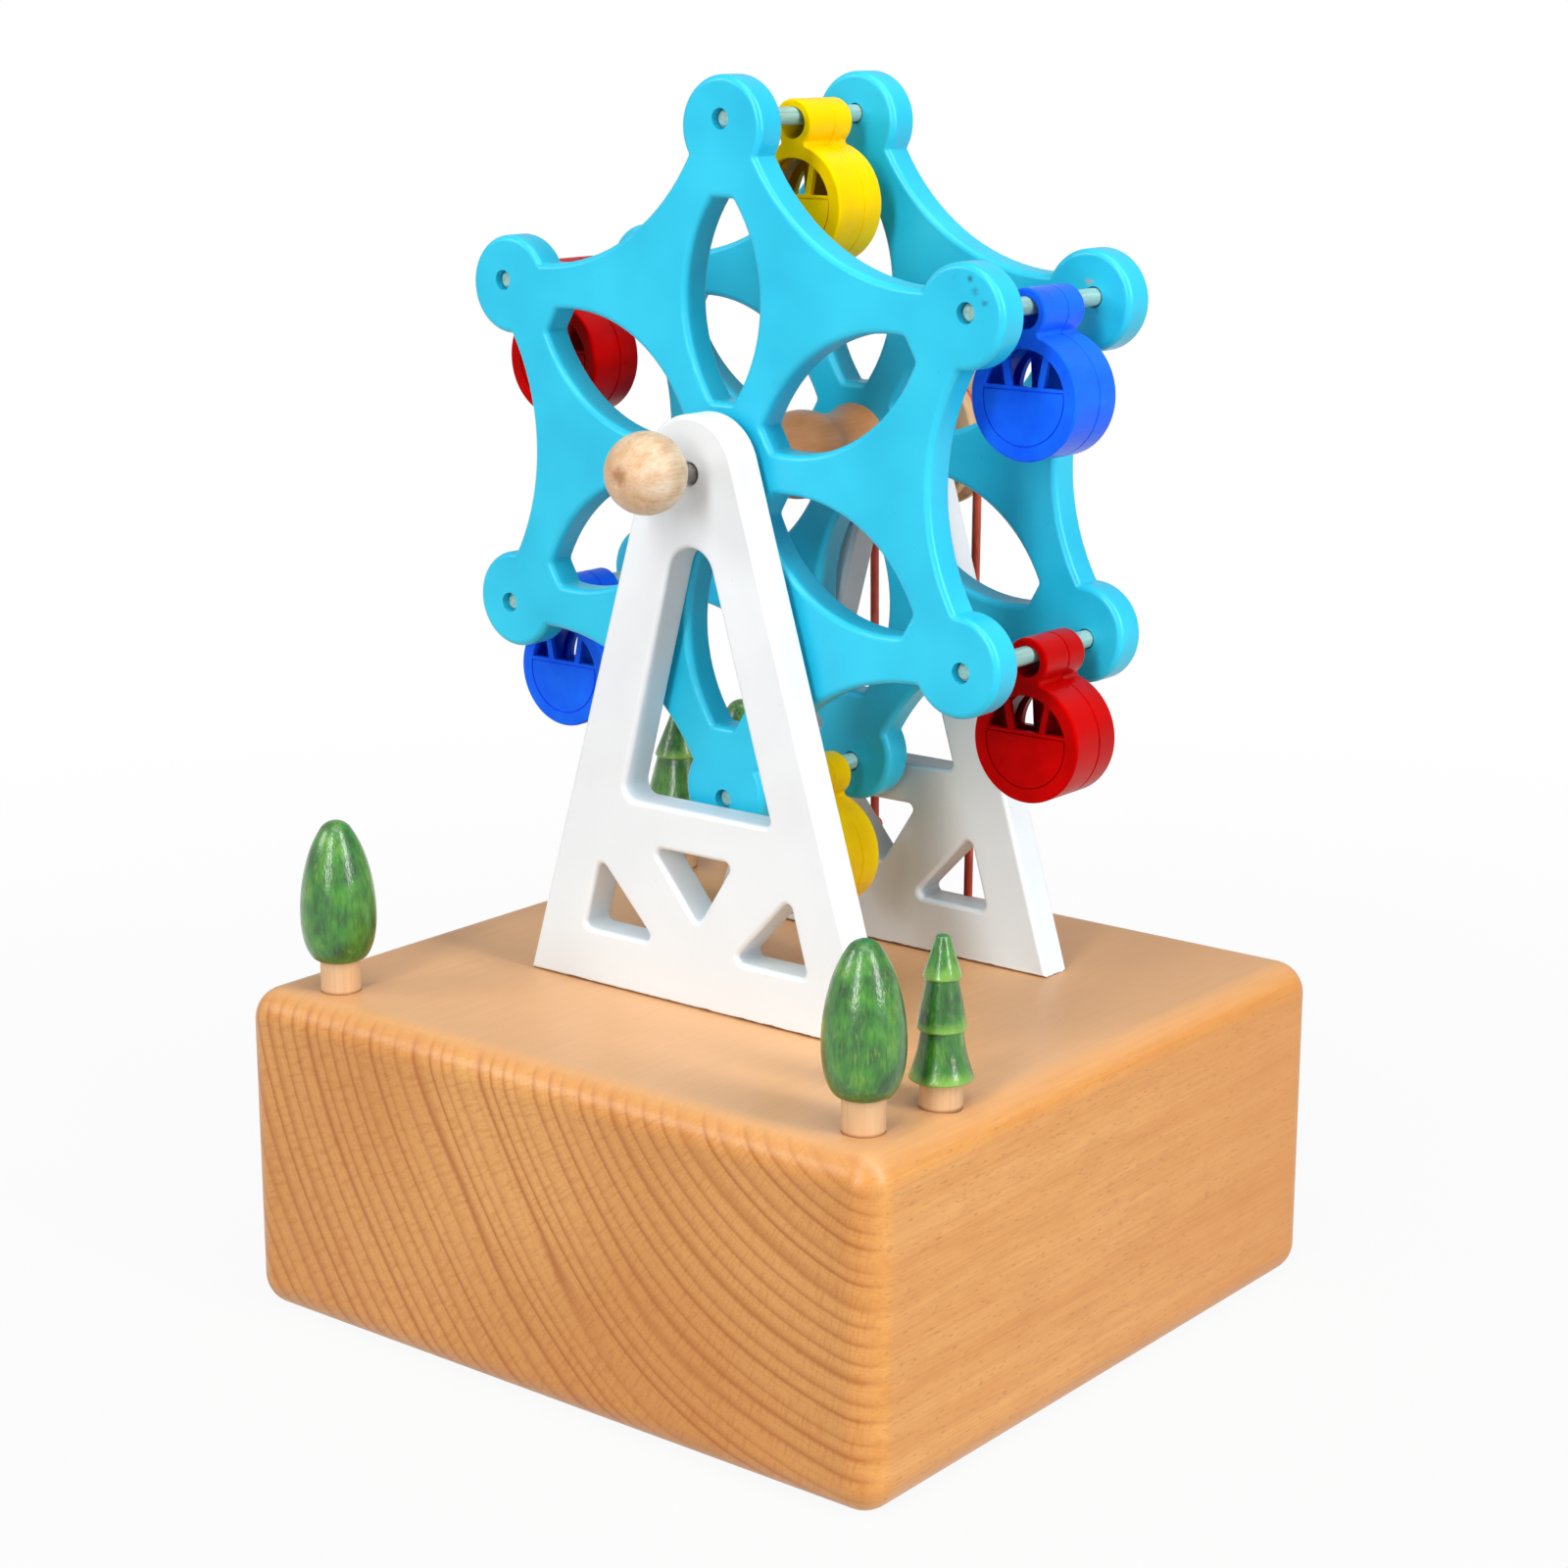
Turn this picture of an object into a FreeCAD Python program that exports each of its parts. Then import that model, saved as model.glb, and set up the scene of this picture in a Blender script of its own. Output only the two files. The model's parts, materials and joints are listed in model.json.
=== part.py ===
import FreeCAD, Part
import math
import os
from types import SimpleNamespace

import Sketcher

# Hand-turned wooden ferris wheel toy on a hollow block with a music movement inside.
# Millimetres, +Z up.  The origin is the middle of the block's underside; the wheel turns about a
# line along Y, and the wooden ball that turns it is on the -Y side.

DRIVING_SIZES = {
    # hollow block
    "block_wide": 120.0,
    "block_deep": 114.0,
    "block_tall": 51.2,
    "block_round": 5.0,
    "block_wall": 14.0,
    "block_top": 12.0,
    "cavity_round": 4.0,
    "belt_hole_rad": 2.5,
    # plate that closes the block from below
    "plate_ledge": 7.0,
    "plate_thick": 3.0,
    "plate_gap": 0.3,
    "plate_screw_rad": 1.1,
    "plate_screw_head_rad": 2.1,
    "plate_screw_head_tall": 1.2,
    "plate_screw_long": 12.0,
    # wheel axle
    "axle_rise": 79.5,
    "shaft_rad": 1.5,
    "shaft_chamfer": 0.3,
    "running_gap": 0.1,
    "press_gap": 0.01,
    # the two stands
    "frame_thick": 6.0,
    "front_frame_gap": 1.3,
    "rear_frame_gap": 1.0,
    "foot_half": 32.7,
    "head_rad": 8.35,
    "arch_rad": 4.15,
    "arch_drop": 14.9,
    "sill_rise": 29.9,
    "sill_right": 14.8,
    "sill_left": 13.6,
    "sill_left_round": 2.0,
    "crossbar_tall": 6.6,
    "middle_half": 7.7,
    "middle_tip_across": 1.0,
    "middle_tip_rise": 12.9,
    "side_inner": 7.4,
    "side_outer": 21.4,
    "side_rise": 8.6,
    "side_tip_across": 18.1,
    "side_tip_rise": 19.9,
    "opening_round": 0.9,
    "frame_edge": 0.8,
    "bore_chamfer": 0.25,
    "dowel_rad": 1.5,
    "dowel_long": 14.0,
    "dowel_across": 26.0,
    "dowel_gap": 0.02,
    # the two discs
    "disc_thick": 5.3,
    "disc_spacing": 25.75,
    "wheel_shift": 3.325,
    "pin_circle_rad": 49.07,
    "lobe_rad": 7.3,
    "lobe_inset": 1.2,
    "waist_rad": 36.7,
    "scoop_rad": 33.0,
    "notch_round": 0.3,
    "lens_start": 9.5,
    "lens_end": 38.1,
    "lens_side_rad": 23.7,
    "lens_blunt_half": 1.9,
    "lens_tip_round": 0.8,
    "disc_edge": 1.0,
    "rod_rad": 1.3,
    "rod_hole_gap": 0.2,
    "rod_recess": 0.9,
    "rod_end_chamfer": 0.35,
    # turned spacer between the discs
    "spindle_end_rad": 6.4,
    "spindle_neck_rad": 6.05,
    "spindle_bead_half": 3.4,
    "spindle_waist_arc": 14.0,
    "spindle_bead_arc": 11.2,
    # ball that turns the wheel
    "knob_rad": 5.9,
    "knob_stand_off": 3.25,
    "knob_offset": 1.1,
    "knob_flat_rad": 1.6,
    "knob_bore_deep": 7.0,
    # pulleys and belt
    "belt_rad": 0.7,
    "belt_clearance": 0.15,
    "groove_half_angle": 35.0,
    "drive_pitch_rad": 10.0,
    "drive_flange_rad": 11.7,
    "drive_thick": 8.0,
    "drive_gap": 2.4,
    "drive_shaft_end": 1.0,
    "driven_pitch_rad": 9.0,
    "driven_flange_rad": 10.3,
    "driven_thick": 7.0,
    "driven_ceiling_gap": 1.9,
    "driven_wall_gap": 4.6,
    "pulley_edge": 0.6,
    "belt_joint_rad": 1.3,
    "belt_joint_rise": 15.0,
    # cabins
    "cabin_deep": 10.0,
    "top_cabin_gap": 10.95,
    "upper_right_cabin_gap": 8.7,
    "lower_right_cabin_gap": 10.75,
    "bottom_cabin_gap": 11.5,
    "lower_left_cabin_gap": 6.55,
    "upper_left_cabin_gap": 5.3,
    "cabin_front_part": 5.8,
    "tube_rad": 3.4,
    "tube_hole_rad": 2.3,
    "hang_gap": 0.05,
    "drum_rad": 8.85,
    "drum_drop": 12.7,
    "neck_blend": 0.5,
    "shell_wall": 1.0,
    "shell_edge": 0.4,
    "seam_chamfer": 0.2,
    "rim_wide": 2.05,
    "front_sill_rise": 1.6,
    "back_sill_rise": 0.2,
    "panel_below_sill": 0.4,
    "panel_groove_wide": 0.24,
    "panel_groove_deep": 0.25,
    "strut_half_wide": 0.5,
    "strut_foot_across": 2.6,
    "strut_head_across": 3.7,
    "strut_head_drop": 0.93,
    "strut_recess": 0.2,
    "pillar_foot_half": 4.6,
    "pillar_head_half": 5.1,
    "lip_long": 1.2,
    "lip_root": 1.5,
    "lip_gap": 0.1,
    "lip_wall": 0.7,
    # trees
    "egg_front_left_side": 12.8,
    "egg_front_left_end": 8.7,
    "egg_front_right_side": 8.8,
    "egg_front_right_end": 9.3,
    "egg_back_left_side": 11.0,
    "egg_back_left_end": 8.0,
    "fir_right_side": 6.5,
    "fir_right_end": 23.5,
    "fir_left_side": 7.0,
    "fir_left_end": 20.0,
    "trunk_bare": 5.0,
    "trunk_bare_back": 6.5,
    "fir_right_bare": 4.0,
    "fir_left_bare": 4.2,
    "trunk_rad": 3.0,
    "trunk_in_block": 8.0,
    "trunk_in_crown": 5.0,
    "trunk_gap": 0.03,
    "trunk_chamfer": 0.3,
    "egg_tall": 21.4,
    "egg_foot_rad": 3.4,
    "egg_belly_rad": 5.7,
    "egg_belly_rise": 7.0,
    "egg_shoulder_rad": 4.15,
    "egg_shoulder_rise": 16.4,
    "egg_tip_rad": 2.4,
    "egg_tip_rise": 20.0,
    "egg_shoulder_arc": 17.0,
    "egg_foot_round": 0.2,
    "fir_top_rad": 0.9,
    "fir_tier_step": 0.55,
    "fir_tier_round": 0.3,
    "fir_skirt_arc": 22.0,
    "small_fir_tall": 20.0,
    "small_fir_upper_rise": 14.1,
    "small_fir_lower_rise": 7.0,
    "small_fir_upper_rad": 2.75,
    "small_fir_middle_rad": 3.5,
    "small_fir_lower_rad": 4.6,
    "large_fir_tall": 23.8,
    "large_fir_upper_rise": 15.5,
    "large_fir_lower_rise": 7.6,
    "large_fir_upper_rad": 4.2,
    "large_fir_middle_rad": 5.7,
    "large_fir_lower_rad": 6.4,
    # input of the music movement
    "movement_y": 8.0,
    "worm_rad": 3.0,
    "worm_long": 10.0,
    "worm_pitch": 1.4,
    "worm_thread_deep": 0.6,
    "worm_shaft_rad": 1.0,
    "bearing_gap": 0.05,
    "post_gap": 1.5,
    "post_thick": 3.0,
    "post_half_wide": 3.0,
    "mesh_gap": 0.2,
    "gear_rad": 5.8,
    "gear_thick": 3.0,
    "gear_teeth": 24,
    "tooth_deep": 0.8,
    # music cylinder and comb
    "cylinder_rad": 6.5,
    "cylinder_long": 19.0,
    "cylinder_gap": 1.5,
    "cylinder_edge": 0.4,
    "comb_gap": 0.3,
    "comb_thick": 1.0,
    "comb_deep": 20.0,
    "comb_tooth_long": 10.0,
    "comb_teeth": 18,
    "comb_slot": 0.25,
    "comb_seat_deep": 9.0,
    "comb_screw_across": 5.0,
    "comb_screw_back": 3.5,
    # bed of the movement
    "bed_thick": 3.0,
    "bed_left": 12.0,
    "bed_right": 32.0,
    "bed_front": 22.0,
    "bed_back": 24.0,
    "bed_screw_inset": 3.5,
    "small_screw_rad": 1.0,
    "small_screw_head_rad": 1.9,
    "small_screw_head_tall": 1.3,
    "small_screw_long": 7.0,
    "screw_gap": 0.1,
    "screw_slot_wide": 0.5,
    "screw_slot_deep": 0.5,
}


class Size:
    """A size that knows its number and the sheet expression that gives it."""

    def __init__(self, number, text):
        self.number = number
        self.text = text

    def __add__(self, other):
        other = as_size(other)
        return Size(self.number + other.number, f"({self.text} + {other.text})")

    def __sub__(self, other):
        other = as_size(other)
        return Size(self.number - other.number, f"({self.text} - {other.text})")

    def __mul__(self, other):
        other = as_size(other)
        return Size(self.number * other.number, f"({self.text} * {other.text})")

    def __truediv__(self, other):
        other = as_size(other)
        return Size(self.number / other.number, f"({self.text} / {other.text})")

    def __neg__(self):
        return Size(-self.number, f"(0 - {self.text})")


def as_size(value):
    return value if isinstance(value, Size) else Size(value, str(value))


def sine(angle):
    angle = as_size(angle)
    return Size(math.sin(math.radians(angle.number)), f"sin({angle.text})")


def cosine(angle):
    angle = as_size(angle)
    return Size(math.cos(math.radians(angle.number)), f"cos({angle.text})")


def other_leg(leg, slope):
    """The other short side of a right triangle."""
    return Size(math.sqrt(slope.number ** 2 - leg.number ** 2),
                f"sqrt({slope.text} ^ 2 - {leg.text} ^ 2)")


doc = FreeCAD.newDocument("ferris_wheel_toy")
sheet = doc.addObject("Spreadsheet::Sheet", "sizes")
for row, (alias, number) in enumerate(DRIVING_SIZES.items(), 1):
    sheet.set(f"A{row}", alias)
    sheet.set(f"B{row}", str(number))
    sheet.setAlias(f"B{row}", alias)
doc.recompute()
dim = SimpleNamespace(**{name: Size(float(sheet.get(name)), f"sizes.{name}")
                         for name in DRIVING_SIZES})
ORIGIN = (as_size(0), as_size(0), as_size(0))
ARMS = 6
# how near an edge has to be to a level or a direction to count as being there
NEAR = 1e-4

# ---- places that several pieces share ------------------------------------------------------

axle_z = dim.block_tall + dim.axle_rise
ceiling_z = dim.block_tall - dim.block_top
spindle_front = dim.wheel_shift - dim.disc_spacing / 2
front_disc_y = spindle_front - dim.disc_thick
rear_disc_y = spindle_front + dim.disc_spacing
front_frame_y = front_disc_y - dim.front_frame_gap - dim.frame_thick
rear_frame_y = rear_disc_y + dim.disc_thick + dim.rear_frame_gap
belt_y = rear_frame_y + dim.frame_thick + dim.drive_gap + dim.drive_thick / 2
knob_y = front_frame_y - dim.knob_stand_off - dim.knob_rad
worm_z = ceiling_z - dim.driven_ceiling_gap - dim.driven_flange_rad
cylinder_z = worm_z - dim.worm_rad - dim.mesh_gap - dim.gear_rad
bed_z = ceiling_z - dim.bed_thick
press_rad = dim.shaft_rad + dim.press_gap
tube_drop = dim.tube_hole_rad - dim.rod_rad - dim.hang_gap
cavity_half_wide = dim.block_wide / 2 - dim.block_wall
cavity_half_deep = belt_y + dim.driven_thick / 2 + dim.driven_wall_gap
seat_half_wide = cavity_half_wide + dim.plate_ledge
seat_half_deep = cavity_half_deep + dim.plate_ledge

# rod angle from +X towards +Z, and the bare rod between the front disc and the cabin
CABINS = {
    "top": (90, dim.top_cabin_gap),
    "upper_right": (30, dim.upper_right_cabin_gap),
    "lower_right": (330, dim.lower_right_cabin_gap),
    "bottom": (270, dim.bottom_cabin_gap),
    "lower_left": (210, dim.lower_left_cabin_gap),
    "upper_left": (150, dim.upper_left_cabin_gap),
}
TURN_TO_Y = FreeCAD.Rotation(FreeCAD.Vector(1, 0, 0), -90)
TURN_TO_X = FreeCAD.Rotation(FreeCAD.Vector(0, 1, 0), 90)
UPRIGHT = FreeCAD.Rotation()
ABOUT_FACE = FreeCAD.Rotation(FreeCAD.Vector(0, 0, 1), 180)

pieces = []


# ---- document helpers ----------------------------------------------------------------------

def bind(thing, prop, size):
    thing.setExpression(prop, as_size(size).text)


def put(thing, place, turn=UPRIGHT):
    thing.Placement = FreeCAD.Placement(FreeCAD.Vector(), turn)
    for letter, size in zip("xyz", place):
        bind(thing, f"Placement.Base.{letter}", size)


def new_body(label, place=ORIGIN, turn=UPRIGHT):
    body = doc.addObject("PartDesign::Body", label)
    body.Label = label
    put(body, place, turn)
    pieces.append(body)
    return body


def new_sketch(body, role, set_back=None):
    """A sketch on one of the body's own origin planes, moved along its normal by set_back."""
    sketch = body.newObject("Sketcher::SketchObject", f"{body.Name}_sketch")
    plane = next(item for item in body.Origin.OriginFeatures if item.Role == role)
    sketch.AttachmentSupport = [(plane, "")]
    sketch.MapMode = "FlatFace"
    if set_back is not None:
        bind(sketch, "AttachmentOffset.Base.z", set_back)
    return sketch


def constrain(sketch, *parts, size=None):
    index = sketch.addConstraint(Sketcher.Constraint(*parts))
    if size is not None:
        sketch.setExpression(f"Constraints[{index}]", size.text)


def pin(sketch, geometry, end, across, up):
    """Ties one point of a sketch element to a place measured from the sketch's origin."""
    for kind, size in (("DistanceX", as_size(across)), ("DistanceY", as_size(up))):
        constrain(sketch, kind, -1, 1, geometry, end, size.number, size=size)


def circle(sketch, across, up, radius):
    across, up = as_size(across), as_size(up)
    centre = FreeCAD.Vector(across.number, up.number, 0)
    ring = sketch.addGeometry(Part.Circle(centre, FreeCAD.Vector(0, 0, 1), radius.number))
    pin(sketch, ring, 3, across, up)
    constrain(sketch, "Radius", ring, radius.number, size=radius)
    return ring


def arc_between(start, end, radius):
    """The short arc from start to end; it turns left for a positive radius, right for a negative."""
    chord = end - start
    to_left = FreeCAD.Vector(-chord.y, chord.x, 0).normalize()
    reach = math.sqrt(radius ** 2 - (chord.Length / 2) ** 2)
    centre = (start + end) / 2 + to_left * math.copysign(reach, radius)
    first, last = (start, end) if radius > 0 else (end, start)
    angles = [math.atan2(point.y - centre.y, point.x - centre.x) for point in (first, last)]
    return Part.ArcOfCircle(Part.Circle(centre, FreeCAD.Vector(0, 0, 1), abs(radius)), *angles)


def outline(sketch, corners):
    """A closed outline through corners (across, up) or, for a side that is an arc, (across, up, arc)."""
    corners = [tuple(as_size(value) for value in corner) for corner in corners]
    points = [FreeCAD.Vector(corner[0].number, corner[1].number, 0) for corner in corners]
    sides = []
    for number, corner in enumerate(corners):
        start, end = points[number - 1], points[number]
        if len(corner) == 3:
            side = sketch.addGeometry(arc_between(start, end, corner[2].number))
            radius = corner[2] if corner[2].number > 0 else -corner[2]
            constrain(sketch, "Radius", side, radius.number, size=radius)
            ends = (1, 2) if corner[2].number > 0 else (2, 1)
        else:
            side = sketch.addGeometry(Part.LineSegment(start, end))
            ends = (1, 2)
        sides.append((side, *ends))
    for number, (side, begins, stops) in enumerate(sides):
        before, _, before_stops = sides[number - 1]
        constrain(sketch, "Coincident", before, before_stops, side, begins)
        pin(sketch, side, stops, *corners[number][:2])


def tapered_loop(sketch, left, right, bottom, head_up, head_radius):
    """A level foot, two straight sides, and a round head about (0, head_up) that they run into."""
    head = FreeCAD.Vector(0, head_up.number, 0)
    touches = []
    for across, side in ((right, 1), (left, -1)):
        foot = FreeCAD.Vector(across.number, bottom.number, 0)
        away = (foot - head).Length
        lean = math.atan2(foot.y - head.y, foot.x - head.x)
        touches.append(lean + side * math.acos(head_radius.number / away))
    arc = Part.ArcOfCircle(Part.Circle(head, FreeCAD.Vector(0, 0, 1), head_radius.number), *touches)
    feet = [FreeCAD.Vector(across.number, bottom.number, 0) for across in (left, right)]
    foot_line = sketch.addGeometry(Part.LineSegment(*feet))
    right_line = sketch.addGeometry(Part.LineSegment(feet[1], arc.StartPoint))
    head_arc = sketch.addGeometry(arc)
    left_line = sketch.addGeometry(Part.LineSegment(arc.EndPoint, feet[0]))
    pin(sketch, foot_line, 1, left, bottom)
    pin(sketch, foot_line, 2, right, bottom)
    pin(sketch, head_arc, 3, 0, head_up)
    constrain(sketch, "Radius", head_arc, head_radius.number, size=head_radius)
    constrain(sketch, "Coincident", foot_line, 2, right_line, 1)
    constrain(sketch, "Coincident", left_line, 2, foot_line, 1)
    constrain(sketch, "Tangent", right_line, 2, head_arc, 1)
    constrain(sketch, "Tangent", head_arc, 2, left_line, 1)


def feature(body, kind, sketch=None, **sizes):
    made = body.newObject(f"PartDesign::{kind}", f"{body.Name}_{kind}")
    if sketch is not None:
        made.Profile = sketch
        sketch.Visibility = False
    for prop, size in sizes.items():
        bind(made, prop, size)
    return made


def pad_back(body, sketch, length):
    """Pads a sketch that lies in the XZ plane towards +Y."""
    pad = feature(body, "Pad", sketch, Length=length)
    pad.Reversed = True
    return pad


def turned(body, role, corners):
    """A solid of revolution about the sketch's upright axis: Y in the XY plane, Z in the XZ plane."""
    sketch = new_sketch(body, role)
    outline(sketch, corners)
    made = feature(body, "Revolution", sketch)
    made.ReferenceAxis = (sketch, ["V_Axis"])
    made.Angle = 360
    return made


def block(body, kind, low, high):
    """An AdditiveBox or SubtractiveBox between two corners."""
    low = [as_size(value) for value in low]
    high = [as_size(value) for value in high]
    spans = [upper - lower for lower, upper in zip(low, high)]
    made = feature(body, kind, Length=spans[0], Width=spans[1], Height=spans[2])
    put(made, low)
    return made


def drill(body, radius, place, depth, turn=UPRIGHT, kind="SubtractiveCylinder"):
    """A round hole, or with kind AdditiveCylinder a round bar, that starts at place."""
    made = feature(body, kind, Radius=radius, Height=depth)
    put(made, place, turn)
    return made


def around_axle(body, made, sketch, count):
    ring = feature(body, "PolarPattern", Occurrences=count)
    ring.Originals = [made]
    ring.Axis = (sketch, ["N_Axis"])
    ring.Angle = 360
    body.Tip = ring
    return ring


def soften(body, radius, wanted, kind="Fillet", prop="Radius"):
    """Rounds (or chamfers) the edges of the body's tip that pass the test wanted(edge)."""
    doc.recompute()
    tip = body.Tip
    names = [f"Edge{number}" for number, edge in enumerate(tip.Shape.Edges, 1) if wanted(edge)]
    made = feature(body, kind, **{prop: radius})
    made.Base = (tip, names)
    return made


def flat_at(axis, *levels):
    """A test for edges that lie wholly at one of the levels along an axis."""
    low, high = f"{axis}Min", f"{axis}Max"
    numbers = [as_size(level).number for level in levels]
    return lambda edge: any(abs(getattr(edge.BoundBox, low) - number) < NEAR
                            and abs(getattr(edge.BoundBox, high) - number) < NEAR for number in numbers)


def runs_along(edge, direction):
    if edge.Degenerated or not isinstance(edge.Curve, Part.Line):
        return False
    return abs(abs(edge.Curve.Direction.dot(direction)) - 1) < NEAR


ALONG_Y = FreeCAD.Vector(0, 1, 0)
ALONG_Z = FreeCAD.Vector(0, 0, 1)


# ---- block and what closes it --------------------------------------------------------------

left_x, right_x = -dim.block_wide / 2, dim.block_wide / 2
front_y, back_y = -dim.block_deep / 2, dim.block_deep / 2
# x, y of each trunk, bare length of trunk under its crown, and the crown's shape
TREES = {
    "egg_front_left": (left_x + dim.egg_front_left_side, front_y + dim.egg_front_left_end,
                       dim.trunk_bare, "egg"),
    "egg_front_right": (right_x - dim.egg_front_right_side, front_y + dim.egg_front_right_end,
                        dim.trunk_bare, "egg"),
    "egg_back_left": (left_x + dim.egg_back_left_side, back_y - dim.egg_back_left_end,
                      dim.trunk_bare_back, "egg"),
    "fir_right": (right_x - dim.fir_right_side, front_y + dim.fir_right_end,
                  dim.fir_right_bare, "small_fir"),
    "fir_left": (left_x + dim.fir_left_side, back_y - dim.fir_left_end,
                 dim.fir_left_bare, "large_fir"),
}


def plate_screw_spots():
    across = cavity_half_wide + dim.plate_ledge / 2
    along = cavity_half_deep + dim.plate_ledge / 2
    return [(side, end) for side in (-across, across) for end in (-along, along)]


def belt_spots():
    """Where the two runs of the belt pass the middle of the block's top."""
    up = dim.block_tall - dim.block_top / 2 - worm_z
    lean = (dim.drive_pitch_rad - dim.driven_pitch_rad) / (axle_z - worm_z)
    across = dim.driven_pitch_rad + up * lean
    return [(-across, belt_y), (across, belt_y)]


def dowel_spots():
    rows = [y + dim.frame_thick / 2 for y in (front_frame_y, rear_frame_y)]
    return [(side, row) for row in rows for side in (-dim.dowel_across, dim.dowel_across)]


def bed_screw_spots():
    left = -dim.bed_left + dim.bed_screw_inset
    right = dim.bed_right - dim.bed_screw_inset
    front = -dim.bed_front + dim.bed_screw_inset
    back = dim.bed_back - dim.bed_screw_inset
    return [(left, back), (right, back), (left, front), (right, front)]


def base_block():
    body = new_body("base_block")
    half_wide, half_deep = dim.block_wide / 2, dim.block_deep / 2
    block(body, "AdditiveBox", (-half_wide, -half_deep, 0), (half_wide, half_deep, dim.block_tall))
    soften(body, dim.block_round, lambda edge: True)
    block(body, "SubtractiveBox", (-cavity_half_wide, -cavity_half_deep, 0),
          (cavity_half_wide, cavity_half_deep, ceiling_z))
    inside = (cavity_half_wide + dim.press_gap).number
    soften(body, dim.cavity_round,
           lambda edge: runs_along(edge, ALONG_Z) and abs(edge.BoundBox.Center.x) < inside)
    block(body, "SubtractiveBox", (-seat_half_wide, -seat_half_deep, 0),
          (seat_half_wide, seat_half_deep, dim.plate_thick))
    for across, along in belt_spots():
        drill(body, dim.belt_hole_rad, (across, along, ceiling_z), dim.block_top)
    for across, along in dowel_spots():
        drill(body, dim.dowel_rad + dim.dowel_gap,
              (across, along, dim.block_tall - dim.dowel_long / 2), dim.dowel_long / 2)
    for across, along, *_ in TREES.values():
        drill(body, dim.trunk_rad + dim.trunk_gap,
              (across, along, dim.block_tall - dim.trunk_in_block), dim.trunk_in_block)
    for across, along in plate_screw_spots():
        drill(body, dim.plate_screw_rad + dim.press_gap, (across, along, dim.plate_thick),
              dim.plate_screw_long - dim.plate_thick)
    for across, along in bed_screw_spots():
        drill(body, dim.small_screw_rad + dim.press_gap, (across, along, ceiling_z),
              dim.small_screw_long - dim.bed_thick)


def bottom_plate():
    body = new_body("bottom_plate")
    half_wide, half_deep = seat_half_wide - dim.plate_gap, seat_half_deep - dim.plate_gap
    block(body, "AdditiveBox", (-half_wide, -half_deep, 0), (half_wide, half_deep, dim.plate_thick))
    soften(body, dim.plate_gap, lambda edge: runs_along(edge, ALONG_Z))
    for across, along in plate_screw_spots():
        drill(body, dim.plate_screw_rad + dim.screw_gap, (across, along, 0), dim.plate_thick)
        sink = feature(body, "SubtractiveCone", Radius1=dim.plate_screw_head_rad + dim.screw_gap,
                       Radius2=dim.plate_screw_rad + dim.screw_gap, Height=dim.plate_screw_head_tall)
        put(sink, (across, along, 0))


def screws(label, spots, head_z, shank_long, shank_rad, head_rad, head_tall, countersunk):
    """Slotted screws that point up; head_z is the underside of their heads."""
    made = []
    for number, (across, along) in enumerate(spots):
        name = f"{label}_{number}"
        kind = "Part::Cone" if countersunk else "Part::Cylinder"
        head = doc.addObject(kind, f"{name}_head")
        bind(head, "Height", head_tall)
        if countersunk:
            bind(head, "Radius1", head_rad)
            bind(head, "Radius2", shank_rad)
        else:
            bind(head, "Radius", head_rad)
        put(head, (across, along, head_z))
        shank = doc.addObject("Part::Cylinder", f"{name}_shank")
        bind(shank, "Radius", shank_rad)
        bind(shank, "Height", shank_long - dim.screw_slot_deep)
        put(shank, (across, along, head_z + dim.screw_slot_deep))
        whole = doc.addObject("Part::Fuse", f"{name}_whole")
        whole.Base = head
        whole.Tool = shank
        slot = doc.addObject("Part::Box", f"{name}_slot")
        bind(slot, "Length", head_rad * 2)
        bind(slot, "Width", dim.screw_slot_wide)
        bind(slot, "Height", dim.screw_slot_deep)
        put(slot, (across - head_rad, along - dim.screw_slot_wide / 2, head_z))
        screw = doc.addObject("Part::Cut", name)
        screw.Base = whole
        screw.Tool = slot
        made.append(screw)
    group = doc.addObject("Part::Compound", label)
    group.Label = label
    group.Links = made
    pieces.append(group)


# ---- stands --------------------------------------------------------------------------------

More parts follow.
